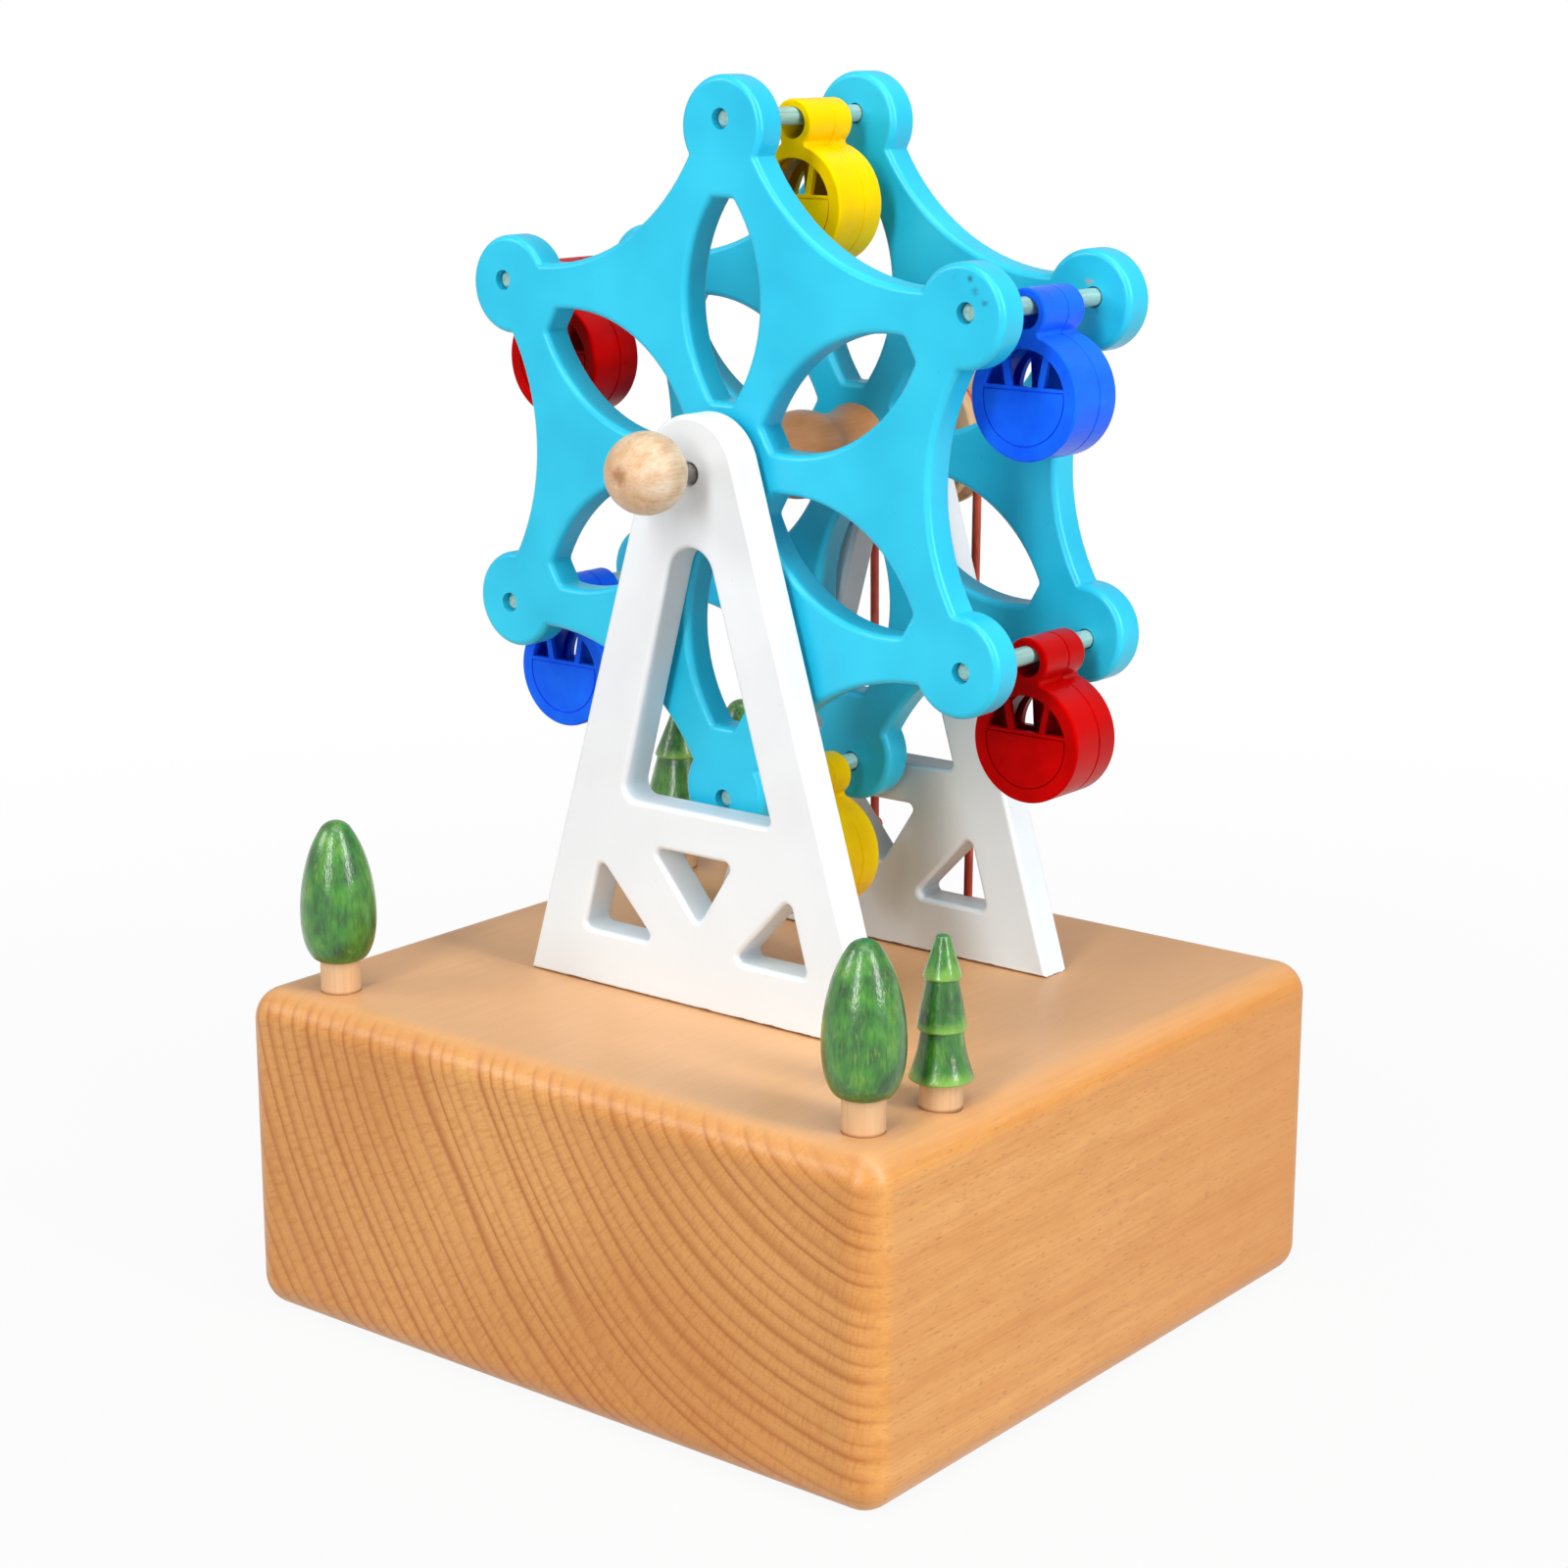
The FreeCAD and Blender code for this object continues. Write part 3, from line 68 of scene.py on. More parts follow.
# growth rings of beech, in millimetres
BLOCK_RING_APART = 2.7
TURNED_RING_APART = 1.6

# nodes inside the block or sunk in its underside, out of sight as the toy stands, which keep their
# plain surfaces
INSIDE = {"bottom_plate_screws", "frame_dowels", "worm_shaft", "cylinder_gear", "music_cylinder",
          "music_comb", "movement_bed", "comb_screws", "movement_screws"}
# corners of one node closer than this, in metres, are one corner
WELD_WITHIN = 1e-6
# faces that meet at less than this angle belong to one rounded surface
SMOOTH_BELOW = math.radians(32)
# a plane that holds more than this share of a piece's surface is one of its flats
FLAT_SHARE = 0.03

# the egg crowns below their widest ring, in millimetres
EGG_FOOT_RAD = 3.4
EGG_BELLY_RAD = 5.7
EGG_BELLY_RISE = 7.0
# the lower this is, the fuller the crown is between its foot and its widest ring
EGG_SLOPE = 0.6
# the bore lies within this radius, and the rounded edge of the foot below this height
EGG_KEPT_RAD = 3.25
EGG_KEPT_RISE = 0.25


# ---- camera and lights ---------------------------------------------------------------------

def studio_camera():
    """A camera to the right of the front, a little higher than the wheel and looking slightly down."""
    target = Vector((-0.36, 0, 81.03)) * MM
    azimuth, elevation, distance = math.radians(38.66), math.radians(13.92), 470.87 * MM
    look = Vector((-math.sin(azimuth) * math.cos(elevation), math.cos(azimuth) * math.cos(elevation),
                   -math.sin(elevation)))
    lens = bpy.data.cameras.new("studio_camera")
    lens.lens = 71.555
    lens.sensor_width = 36
    lens.clip_start = 0.01
    camera = bpy.data.objects.new("studio_camera", lens)
    camera.location = target - look * distance
    camera.rotation_euler = look.to_track_quat("-Z", "Y").to_euler()
    bpy.context.collection.objects.link(camera)
    bpy.context.scene.camera = camera


def soft_box(name, azimuth, elevation, wide, tall, watts):
    """A soft box that faces the object; azimuth is in degrees from the front, rightwards."""
    middle, metres_away = Vector((0, 0, 0.09)), 1.2
    around, up = math.radians(azimuth), math.radians(elevation)
    outward = Vector((math.sin(around) * math.cos(up), -math.cos(around) * math.cos(up), math.sin(up)))
    lamp = bpy.data.lights.new(name, "AREA")
    lamp.shape = "RECTANGLE"
    lamp.size = wide
    lamp.size_y = tall
    lamp.energy = watts
    box = bpy.data.objects.new(name, lamp)
    box.location = middle + metres_away * outward
    box.rotation_euler = (middle - box.location).to_track_quat("-Z", "Y").to_euler()
    bpy.context.collection.objects.link(box)
    return box


def studio_lights():
    """Tall strips at the right and the front, a broad box above and two weak ones that lighten shade."""
    soft_box("right_soft_box", 88, 30, 0.2, 1.1, 11.6)
    soft_box("front_soft_box", 12, 26, 0.2, 0.9, 8.4)
    soft_box("top_soft_box", 40, 74, 0.8, 0.8, 6.6)
    soft_box("left_soft_box", -42, 28, 0.35, 0.35, 3.6)
    # lightens the rear stand under the wheel without a highlight of its own
    low = soft_box("low_right_soft_box", 62, 10, 0.4, 0.3, 1.1)
    low.visible_glossy = False


# ---- node helpers --------------------------------------------------------------------------

def hex_colour(code):
    """An sRGB hex colour as the linear colour that a shader takes."""
    channels = [int(code[place:place + 2], 16) / 255 for place in (1, 3, 5)]
    linear = [value / 12.92 if value <= 0.04045 else ((value + 0.055) / 1.055) ** 2.4 for value in channels]
    return (*linear, 1.0)


def grey(level):
    return (level, level, level, 1.0)


def add(tree, kind, inputs=None, stops=None, **settings):
    """Adds a node with its settings; an input takes a value, a node, or a (node, output name) pair."""
    made = tree.nodes.new(kind)
    for name, value in settings.items():
        setattr(made, name, value)
    for key, value in (inputs or {}).items():
        if isinstance(value, bpy.types.Node):
            tree.links.new(value.outputs[0], made.inputs[key])
        elif isinstance(value, tuple) and isinstance(value[0], bpy.types.Node):
            tree.links.new(value[0].outputs[value[1]], made.inputs[key])
        else:
            made.inputs[key].default_value = value
    if stops:
        ramp = made.color_ramp
        while len(ramp.elements) < len(stops):
            ramp.elements.new(0.5)
        for element, (place, colour) in zip(ramp.elements, stops):
            element.position = place
            element.color = hex_colour(colour) if isinstance(colour, str) else grey(colour)
    return made


def new_finish(name, centre=(0, 0, 0), turn=(0, 0, 0), **shader_values):
    """A material as .made with its .tree, .shader and .place, millimetres from a centre on the object."""
    made = bpy.data.materials.new(name)
    made.use_nodes = True
    tree = made.node_tree
    shader = tree.nodes["Principled BSDF"]
    for key, value in shader_values.items():
        shader.inputs[key.replace("_", " ")].default_value = value
    piece = add(tree, "ShaderNodeTexCoord")
    place = add(tree, "ShaderNodeMapping", {
        "Vector": (piece, "Object"), "Location": [value * MM for value in centre],
        "Rotation": turn, "Scale": (MM, MM, MM)}, vector_type="TEXTURE")
    return SimpleNamespace(made=made, tree=tree, shader=shader, place=place, piece=piece)


def patterns(finish, **cells):
    """Cloudy patterns, each with cells of (x, y, z) millimetres and a number of finer layers."""
    found = {}
    for name, (*cell, layers) in cells.items():
        scaled = add(finish.tree, "ShaderNodeVectorMath", {0: finish.place, 1: cell}, operation="DIVIDE")
        found[name] = add(finish.tree, "ShaderNodeTexNoise",
                          {"Vector": scaled, "Scale": 1.0, "Detail": float(layers)})
    return SimpleNamespace(**found)


def apply_finish(finish, colour=None, roughness=None, height=None, depth=0.0, coat=False):
    """Links patterns to the shader; depth is the relief of the height pattern in millimetres."""
    tree, shader = finish.tree, finish.shader
    if colour is not None:
        tree.links.new(colour.outputs[0], shader.inputs["Base Color"])
    if roughness is not None:
        tree.links.new(roughness.outputs[0], shader.inputs["Roughness"])
    if height is not None:
        bump = add(tree, "ShaderNodeBump", {"Height": height, "Distance": depth * MM, "Strength": 1.0})
        tree.links.new(bump.outputs[0], shader.inputs["Normal"])
        if coat:
            tree.links.new(bump.outputs[0], shader.inputs["Coat Normal"])
    return finish.made


# ---- wood ----------------------------------------------------------------------------------

def beech_figure(finish, ring_apart):
    """Beech about its pith, grain along Y: ring lines, rays across them and fibres."""
    tree, place = finish.tree, finish.place
    figure = patterns(finish, wander=(34, 110, 34, 0), fibres=(0.45, 16, 0.45, 2))
    flat = add(tree, "ShaderNodeVectorMath", {0: place, 1: (1, 0, 1)}, operation="MULTIPLY")
    radius = add(tree, "ShaderNodeVectorMath", {0: flat}, operation="LENGTH")
    parts = add(tree, "ShaderNodeSeparateXYZ", {0: place})
    angle = add(tree, "ShaderNodeMath", {0: (parts, "X"), 1: (parts, "Z")}, operation="ARCTAN2")
    # rays stand 0.6 mm apart at 90 mm from the pith, and break every 3 mm outwards and 20 mm along
    rays_per_radian, ray_outward, ray_along = 150.0, 3.0, 20.0
    around = add(tree, "ShaderNodeMath", {0: angle, 1: rays_per_radian}, operation="MULTIPLY")
    outward = add(tree, "ShaderNodeMath", {0: (radius, "Value"), 1: ray_outward}, operation="DIVIDE")
    along = add(tree, "ShaderNodeMath", {0: (parts, "Y"), 1: ray_along}, operation="DIVIDE")
    ray_place = add(tree, "ShaderNodeCombineXYZ", {0: around, 1: outward, 2: along})
    figure.rays = add(tree, "ShaderNodeTexNoise", {"Vector": ray_place, "Scale": 1.0, "Detail": 1.0})
    # good and poor years set the rings unevenly, and each ring steps a little where a ray crosses it
    spell = add(tree, "ShaderNodeMath", {0: (radius, "Value"), 1: 2.2 * ring_apart}, operation="DIVIDE")
    years = add(tree, "ShaderNodeTexNoise", {"W": spell, "Scale": 1.0, "Detail": 1.0},
                noise_dimensions="1D")
    moved = (radius, "Value")
    for pattern, millimetres in ((figure.wander, 3.5), (years, 1.1 * ring_apart), (figure.rays, 0.2)):
        moved = add(tree, "ShaderNodeMath", {0: pattern, 1: millimetres, 2: moved},
                    operation="MULTIPLY_ADD")
    ring = add(tree, "ShaderNodeMath", {0: moved, 1: ring_apart}, operation="DIVIDE")
    # a ring darkens slowly outwards and ends in a sharp line, with three finer lines within it
    phase = add(tree, "ShaderNodeMath", {0: ring}, operation="FRACT")
    lines = add(tree, "ShaderNodeValToRGB", {0: phase}, stops=[
        (0.0, 0.9), (0.1, 0.35), (0.2, 0.1), (0.3, 0.0), (0.6, 0.22), (0.8, 0.55), (0.93, 1.0)])
    thirds = add(tree, "ShaderNodeMath", {0: ring, 1: 3.0}, operation="MULTIPLY")
    third = add(tree, "ShaderNodeMath", {0: thirds}, operation="FRACT")
    fine = add(tree, "ShaderNodeValToRGB", {0: third}, stops=[
        (0.0, 0.2), (0.25, 0.0), (0.6, 0.0), (0.9, 0.3)])
    lines = add(tree, "ShaderNodeMath", {0: lines, 1: fine}, operation="MAXIMUM")
    # some years leave strong lines and some leave faint ones
    strength = add(tree, "ShaderNodeMapRange", {0: years, 1: 0.35, 2: 0.62, 3: 0.55, 4: 1.0})
    figure.lines = add(tree, "ShaderNodeMath", {0: lines, 1: strength}, operation="MULTIPLY")
    return figure


def end_grain(finish, grain):
    """White where the surface cuts across the grain, black where it runs along it."""
    facing = add(finish.tree, "ShaderNodeVectorMath", {0: (finish.piece, "Normal"), 1: grain},
                 operation="DOT_PRODUCT")
    plain = add(finish.tree, "ShaderNodeMath", {0: (facing, "Value")}, operation="ABSOLUTE")
    return add(finish.tree, "ShaderNodeValToRGB", {0: plain}, stops=[(0.4, 0.0), (0.92, 1.0)])


def sawn_beech():
    # lacquered beech, sawn and sanded: rings and rays stand out on the end grain in front, while the
    # top and sides show long pale fibres with short dark flecks under a thin satin lacquer
    finish = new_finish("lacquered_sawn_beech", BLOCK_PITH, Roughness=0.45, Specular_IOR_Level=0.3,
                        Coat_Weight=0.4, Coat_Roughness=0.33)
    tree = finish.tree
    figure = beech_figure(finish, BLOCK_RING_APART)
    marks = patterns(finish, bands=(30, 170, 4.5, 2), flecks=(0.32, 1.5, 0.32, 0),
                     pores=(0.3, 0.9, 0.3, 0), mottle=(2.0, 5.0, 2.0, 2))
    side = add(tree, "ShaderNodeValToRGB", {0: marks.bands}, stops=[
        (0.3, "#D5934A"), (0.5, "#DA9A52"), (0.7, "#DFA25B")])
    fibre = add(tree, "ShaderNodeValToRGB", {0: figure.fibres}, stops=[(0.3, "#E9DCCB"), (0.62, "#FFFFFF")])
    side = add(tree, "ShaderNodeMixRGB", {"Fac": 0.5, "Color1": side, "Color2": fibre},
               blend_type="MULTIPLY")
    faint = add(tree, "ShaderNodeMath", {0: figure.lines, 1: 0.1}, operation="MULTIPLY")
    side = add(tree, "ShaderNodeMixRGB", {"Fac": faint, "Color1": side, "Color2": hex_colour("#B87840")})
    mottle = add(tree, "ShaderNodeValToRGB", {0: marks.mottle}, stops=[(0.35, "#F1E4D4"), (0.6, "#FFFFFF")])
    side = add(tree, "ShaderNodeMixRGB", {"Fac": 0.35, "Color1": side, "Color2": mottle},
               blend_type="MULTIPLY")
    fleck = add(tree, "ShaderNodeValToRGB", {0: marks.flecks}, stops=[(0.68, 0.0), (0.8, 0.45)])
    facing = add(tree, "ShaderNodeSeparateXYZ", {0: (finish.piece, "Normal")})
    # flecks show on the sides, where the saw ran along the rings, and hardly on the top
    upright = add(tree, "ShaderNodeMapRange", {0: (facing, "Z"), 1: 0.3, 2: 0.8, 3: 0.9, 4: 0.12})
    fleck = add(tree, "ShaderNodeMath", {0: fleck, 1: upright}, operation="MULTIPLY")
    side = add(tree, "ShaderNodeMixRGB", {"Fac": fleck, "Color1": side, "Color2": hex_colour("#A8652A")})
    # the colour turns darker and redder towards the back
    parts = add(tree, "ShaderNodeSeparateXYZ", {0: (finish.piece, "Object")})
    redder = add(tree, "ShaderNodeMapRange", {0: (parts, "Y"), 1: 0.0, 2: 55.0 * MM, 3: 0.0, 4: 0.5})
    side = add(tree, "ShaderNodeMixRGB", {"Fac": redder, "Color1": side, "Color2": hex_colour("#CF8432")})
    # painted sheen: the top is painted paler than the sides, standing in for the lamps' sheen on it
    pale = add(tree, "ShaderNodeMapRange", {0: (facing, "Z"), 1: 0.4, 2: 1.0, 3: 0.0, 4: 0.55})
    side = add(tree, "ShaderNodeMixRGB", {"Fac": pale, "Color1": side, "Color2": hex_colour("#D9AC80")})
    end = add(tree, "ShaderNodeValToRGB", {0: figure.wander}, stops=[(0.3, "#CB8B46"), (0.7, "#DA9F5A")])
    ray = add(tree, "ShaderNodeValToRGB", {0: figure.rays}, stops=[(0.26, "#E6CDAE"), (0.52, "#FFFFFF")])
    end = add(tree, "ShaderNodeMixRGB", {"Fac": 0.55, "Color1": end, "Color2": ray}, blend_type="MULTIPLY")
    strong = add(tree, "ShaderNodeMath", {0: figure.lines, 1: 0.8}, operation="MULTIPLY")
    end = add(tree, "ShaderNodeMixRGB", {"Fac": strong, "Color1": end, "Color2": hex_colour("#A65A12")})
    pore = add(tree, "ShaderNodeValToRGB", {0: marks.pores}, stops=[(0.3, "#E2CDB6"), (0.5, "#FFFFFF")])
    end = add(tree, "ShaderNodeMixRGB", {"Fac": 0.25, "Color1": end, "Color2": pore}, blend_type="MULTIPLY")
    colour = add(tree, "ShaderNodeMixRGB", {"Fac": end_grain(finish, ALONG_Y), "Color1": side,
                                            "Color2": end})
    # a thin dark brown line is painted along the rounded bottom edge where it meets the table, a painted
    # contact shadow
    painted_contact_shadow = add(tree, "ShaderNodeMapRange", {0: (parts, "Z"), 1: 1.0 * MM, 2: 0.3 * MM, 3: 0.0, 4: 0.7})
    colour = add(tree, "ShaderNodeMixRGB", {"Fac": painted_contact_shadow, "Color1": colour,
                                            "Color2": hex_colour("#7A4315")})
    return apply_finish(finish, colour, height=figure.fibres, depth=0.02)


def turned_beech(name, centre, turn, grain, light, deep, line, end, **shader_values):
    """Small turned beech: narrow ring bands down its sides and a darker patch of end grain."""
    finish = new_finish(name, centre, turn, **shader_values)
    tree = finish.tree
    figure = beech_figure(finish, TURNED_RING_APART)
    wood = patterns(finish, patch=(30, 120, 30, 1))
    tone = add(tree, "ShaderNodeValToRGB", {0: wood.patch}, stops=[(0.35, deep), (0.65, light)])
    fibre = add(tree, "ShaderNodeValToRGB", {0: figure.fibres}, stops=[(0.3, "#F0E2D0"), (0.6, "#FFFFFF")])
    tone = add(tree, "ShaderNodeMixRGB", {"Fac": 0.5, "Color1": tone, "Color2": fibre},
               blend_type="MULTIPLY")
    weak = add(tree, "ShaderNodeMath", {0: figure.lines, 1: 0.08}, operation="MULTIPLY")
    tone = add(tree, "ShaderNodeMixRGB", {"Fac": weak, "Color1": tone, "Color2": hex_colour(line)})
    across = add(tree, "ShaderNodeMath", {0: end_grain(finish, grain), 1: figure.rays},
                 operation="MULTIPLY")
    tone = add(tree, "ShaderNodeMixRGB", {"Fac": across, "Color1": tone, "Color2": hex_colour(end)})
    # a brown line is painted where a trunk enters the block, a painted contact shadow
    parts = add(tree, "ShaderNodeSeparateXYZ", {0: (finish.piece, "Object")})
    foot = add(tree, "ShaderNodeMapRange", {0: (parts, "Z"), 1: (BLOCK_TOP + 0.5) * MM, 2: BLOCK_TOP * MM,
                                            3: 0.0, 4: 0.85})
    colour = add(tree, "ShaderNodeMixRGB", {"Fac": foot, "Color1": tone, "Color2": hex_colour("#7E431A")})
    return apply_finish(finish, colour, height=figure.fibres, depth=0.03)


def bare_ball():
    # beech ball turned, sanded and left bare: soft pinkish clouds and faint fibres, browner towards the
    # end grain, with a dark ragged spot where it was held at the front
    finish = new_finish("bare_turned_beech_ball", BALL_FRONT, Roughness=0.5)
    tree = finish.tree
    wood = patterns(finish, cloud=(2.2, 3.4, 2.2, 3), fibres=(0.4, 6, 0.4, 2), rim=(0.9, 0.9, 0.9, 2))
    tone = add(tree, "ShaderNodeValToRGB", {0: wood.cloud}, stops=[
        (0.3, "#C5A280"), (0.48, "#D1B798"), (0.68, "#DBC9B4")])
    fibre = add(tree, "ShaderNodeValToRGB", {0: wood.fibres}, stops=[(0.3, "#EBD9C4"), (0.6, "#FFFFFF")])
    tone = add(tree, "ShaderNodeMixRGB", {"Fac": 0.6, "Color1": tone, "Color2": fibre},
               blend_type="MULTIPLY")
    away = add(tree, "ShaderNodeVectorMath", {0: finish.place}, operation="LENGTH")
    ragged = add(tree, "ShaderNodeMath", {0: wood.rim, 1: 1.8, 2: (away, "Value")},
                 operation="MULTIPLY_ADD")
    brown = add(tree, "ShaderNodeMapRange", {0: ragged, 1: 6.8, 2: 3.6, 3: 0.0, 4: 0.38})
    tone = add(tree, "ShaderNodeMixRGB", {"Fac": brown, "Color1": tone, "Color2": hex_colour("#C98F58")})
    held = add(tree, "ShaderNodeMapRange", {0: ragged, 1: 2.5, 2: 1.5, 3: 0.0, 4: 0.7})
    colour = add(tree, "ShaderNodeMixRGB", {"Fac": held, "Color1": tone, "Color2": hex_colour("#96602F")})
    return apply_finish(finish, colour, height=wood.fibres, depth=0.015)


def stained_crown(name, rims=()):
    # turned beech dyed green under thick gloss lacquer: darker and yellower clouds of dye, short pale
    # upright streaks where the wood took less of it, and lacquer runs that break the lights
    finish = new_finish(name, Roughness=0.4, Coat_Weight=0.7, Coat_Roughness=0.15)
    tree = finish.tree
    dye = patterns(finish, cloud=(3.4, 3.4, 4.5, 3), streak=(0.5, 0.5, 2.6, 2), bare=(0.42, 0.42, 1.9, 2),
                   where=(4.5, 4.5, 4.5, 1), runs=(0.4, 0.4, 0.9, 2))
    cloud = add(tree, "ShaderNodeValToRGB", {0: dye.cloud}, stops=[
        (0.3, "#194F15"), (0.44, "#296C1E"), (0.56, "#38801F"), (0.7, "#5C9228")])
    streak = add(tree, "ShaderNodeValToRGB", {0: dye.streak}, stops=[(0.34, "#B4CDAE"), (0.56, "#FFFFFF")])
    colour = add(tree, "ShaderNodeMixRGB", {"Fac": 0.85, "Color1": cloud, "Color2": streak},
                 blend_type="MULTIPLY")
    bare = add(tree, "ShaderNodeValToRGB", {0: dye.bare}, stops=[(0.52, 0.0), (0.7, 0.45)])
    where = add(tree, "ShaderNodeValToRGB", {0: dye.where}, stops=[(0.46, 0.0), (0.6, 1.0)])
    bare = add(tree, "ShaderNodeMath", {0: bare, 1: where}, operation="MULTIPLY")
    colour = add(tree, "ShaderNodeMixRGB", {"Fac": bare, "Color1": colour, "Color2": hex_colour("#7F9C45")})
    # the dye is thin along the rims of a fir's tiers, and only on the tier above each rim
    parts = add(tree, "ShaderNodeSeparateXYZ", {0: finish.place})
    for rim in rims:
        above = add(tree, "ShaderNodeMath", {0: (parts, "Z"), 1: rim}, operation="SUBTRACT")
        ragged = add(tree, "ShaderNodeMath", {0: dye.cloud, 1: -3.0, 2: above}, operation="MULTIPLY_ADD")
        thin = add(tree, "ShaderNodeMapRange", {0: ragged, 1: 0.4, 2: -1.4, 3: 0.0, 4: 0.75})
        on_tier = add(tree, "ShaderNodeMath", {0: above, 1: -0.05}, operation="GREATER_THAN")
        thin = add(tree, "ShaderNodeMath", {0: thin, 1: on_tier}, operation="MULTIPLY")
        colour = add(tree, "ShaderNodeMixRGB", {"Fac": thin, "Color1": colour,
                                                "Color2": hex_colour("#88B845")})
    return apply_finish(finish, colour, height=dye.runs, depth=0.05, coat=True)


def veneered_panel():
    # plywood panel left bare: straight pale veneer with fine pores
    finish = new_finish("bare_plywood", Roughness=0.6)
    tree = finish.tree
    wood = patterns(finish, tone=(60, 9, 9, 2), fibres=(14, 0.5, 0.5, 2))
    tone = add(tree, "ShaderNodeValToRGB", {0: wood.tone}, stops=[(0.35, "#B98F5E"), (0.65, "#D3AE80")])
    fibre = add(tree, "ShaderNodeValToRGB", {0: wood.fibres}, stops=[(0.35, "#CDB394"), (0.6, "#FFFFFF")])
    colour = add(tree, "ShaderNodeMixRGB", {"Fac": 0.8, "Color1": tone, "Color2": fibre},
                 blend_type="MULTIPLY")
    return apply_finish(finish, colour, height=wood.fibres, depth=0.03)


# ---- paint ---------------------------------------------------------------------------------

def white_enamel():
    # white enamel sprayed on plywood: satin, faintly pebbled, with a few specks of dust, and bare
    # brown wood and glue along the feet where the frame meets the block
    finish = new_finish("white_sprayed_enamel", Coat_Weight=0.2, Coat_Roughness=0.3)
    tree = finish.tree
    coat = patterns(finish, cloud=(22, 22, 22, 2), dust=(0.55, 0.55, 0.55, 0), pebble=(1.3, 1.3, 1.3, 1),
                    feet=(2.2, 2.2, 2.2, 2))
    cloud = add(tree, "ShaderNodeValToRGB", {0: coat.cloud}, stops=[(0.3, "#E0E4E7"), (0.6, "#E8ECEF")])
    parts = add(tree, "ShaderNodeSeparateXYZ", {0: finish.place})
    # painted light: the frame is painted whiter and cooler low down, so it looks brighter there and the
    # warm light thrown up from the block is cancelled
    low = add(tree, "ShaderNodeMapRange", {0: (parts, "Z"), 1: 85.0, 2: 54.0, 3: 0.0, 4: 0.9})
    cloud = add(tree, "ShaderNodeMixRGB", {"Fac": low, "Color1": cloud, "Color2": hex_colour("#EAF7FF")})
    dust = add(tree, "ShaderNodeValToRGB", {0: coat.dust}, stops=[(0.86, 0.0), (0.9, 0.3)])
    colour = add(tree, "ShaderNodeMixRGB", {"Fac": dust, "Color1": cloud, "Color2": hex_colour("#8C8378")})
    lifted = add(tree, "ShaderNodeMath", {0: coat.feet, 1: -0.9, 2: (parts, "Z")}, operation="MULTIPLY_ADD")
    foot = add(tree, "ShaderNodeMapRange", {0: lifted, 1: BLOCK_TOP - 0.1, 2: BLOCK_TOP - 0.25, 3: 0.0,
                                            4: 0.85})
    colour = add(tree, "ShaderNodeMixRGB", {"Fac": foot, "Color1": colour, "Color2": hex_colour("#7A4A26")})
    gloss = add(tree, "ShaderNodeMapRange", {0: coat.cloud, 1: 0.3, 2: 0.7, 3: 0.34, 4: 0.46})
    return apply_finish(finish, colour, gloss, coat.pebble, 0.02)


def sky_enamel():
    # sky-blue enamel sprayed on plywood: satin with fine orange peel and dark specks of dust, with a
    # worn arc of dots on the lobe that fingers push, and bare wood beside one rod
    finish = new_finish("sky_blue_sprayed_enamel", Specular_IOR_Level=0.35, Coat_Weight=0.1,
                        Coat_Roughness=0.25)
    tree = finish.tree
    coat = patterns(finish, cloud=(16, 16, 16, 2), dust=(0.5, 0.5, 0.5, 0), pebble=(1.1, 1.1, 1.1, 1),
                    wear=(0.8, 0.8, 0.8, 2))
    colour = add(tree, "ShaderNodeValToRGB", {0: coat.cloud}, stops=[
        (0.32, "#1DB9DC"), (0.5, "#24C1E3"), (0.68, "#2BC8E9")])
    dust = add(tree, "ShaderNodeValToRGB", {0: coat.dust}, stops=[(0.86, 0.0), (0.9, 0.35)])
    colour = add(tree, "ShaderNodeMixRGB", {"Fac": dust, "Color1": colour, "Color2": hex_colour("#14708E")})
    for centre, reach, code in WORN_SPOTS:
        away = add(tree, "ShaderNodeVectorMath", {0: finish.place, 1: centre}, operation="DISTANCE")
        ragged = add(tree, "ShaderNodeMath", {0: coat.wear, 1: 1.6, 2: (away, "Value")},
                     operation="MULTIPLY_ADD")
        near = add(tree, "ShaderNodeMapRange", {0: ragged, 1: reach + 0.9, 2: reach + 0.2, 3: 0.0, 4: 0.8})
        colour = add(tree, "ShaderNodeMixRGB", {"Fac": near, "Color1": colour, "Color2": hex_colour(code)})
    gloss = add(tree, "ShaderNodeMapRange", {0: coat.cloud, 1: 0.3, 2: 0.7, 3: 0.3, 4: 0.42})
    return apply_finish(finish, colour, gloss, coat.pebble, 0.02)


def rod_enamel():
    # thin grey-green paint brushed on beech rod: wood tone shows through in streaks along the rod
    finish = new_finish("grey_green_brushed_paint", Roughness=0.45)
    tree = finish.tree
    coat = patterns(finish, streak=(0.5, 7.0, 0.5, 2), bare=(0.7, 1.4, 0.7, 1))
    colour = add(tree, "ShaderNodeValToRGB", {0: coat.streak}, stops=[
        (0.3, "#7FA9A2"), (0.5, "#93BCB6"), (0.7, "#A5CBC4")])
    bare = add(tree, "ShaderNodeValToRGB", {0: coat.bare}, stops=[(0.66, 0.0), (0.74, 0.7)])
    colour = add(tree, "ShaderNodeMixRGB", {"Fac": bare, "Color1": colour, "Color2": hex_colour("#B99A76")})
    return apply_finish(finish, colour, height=coat.streak, depth=0.012)


# ---- plastic, belt and metal ---------------------------------------------------------------

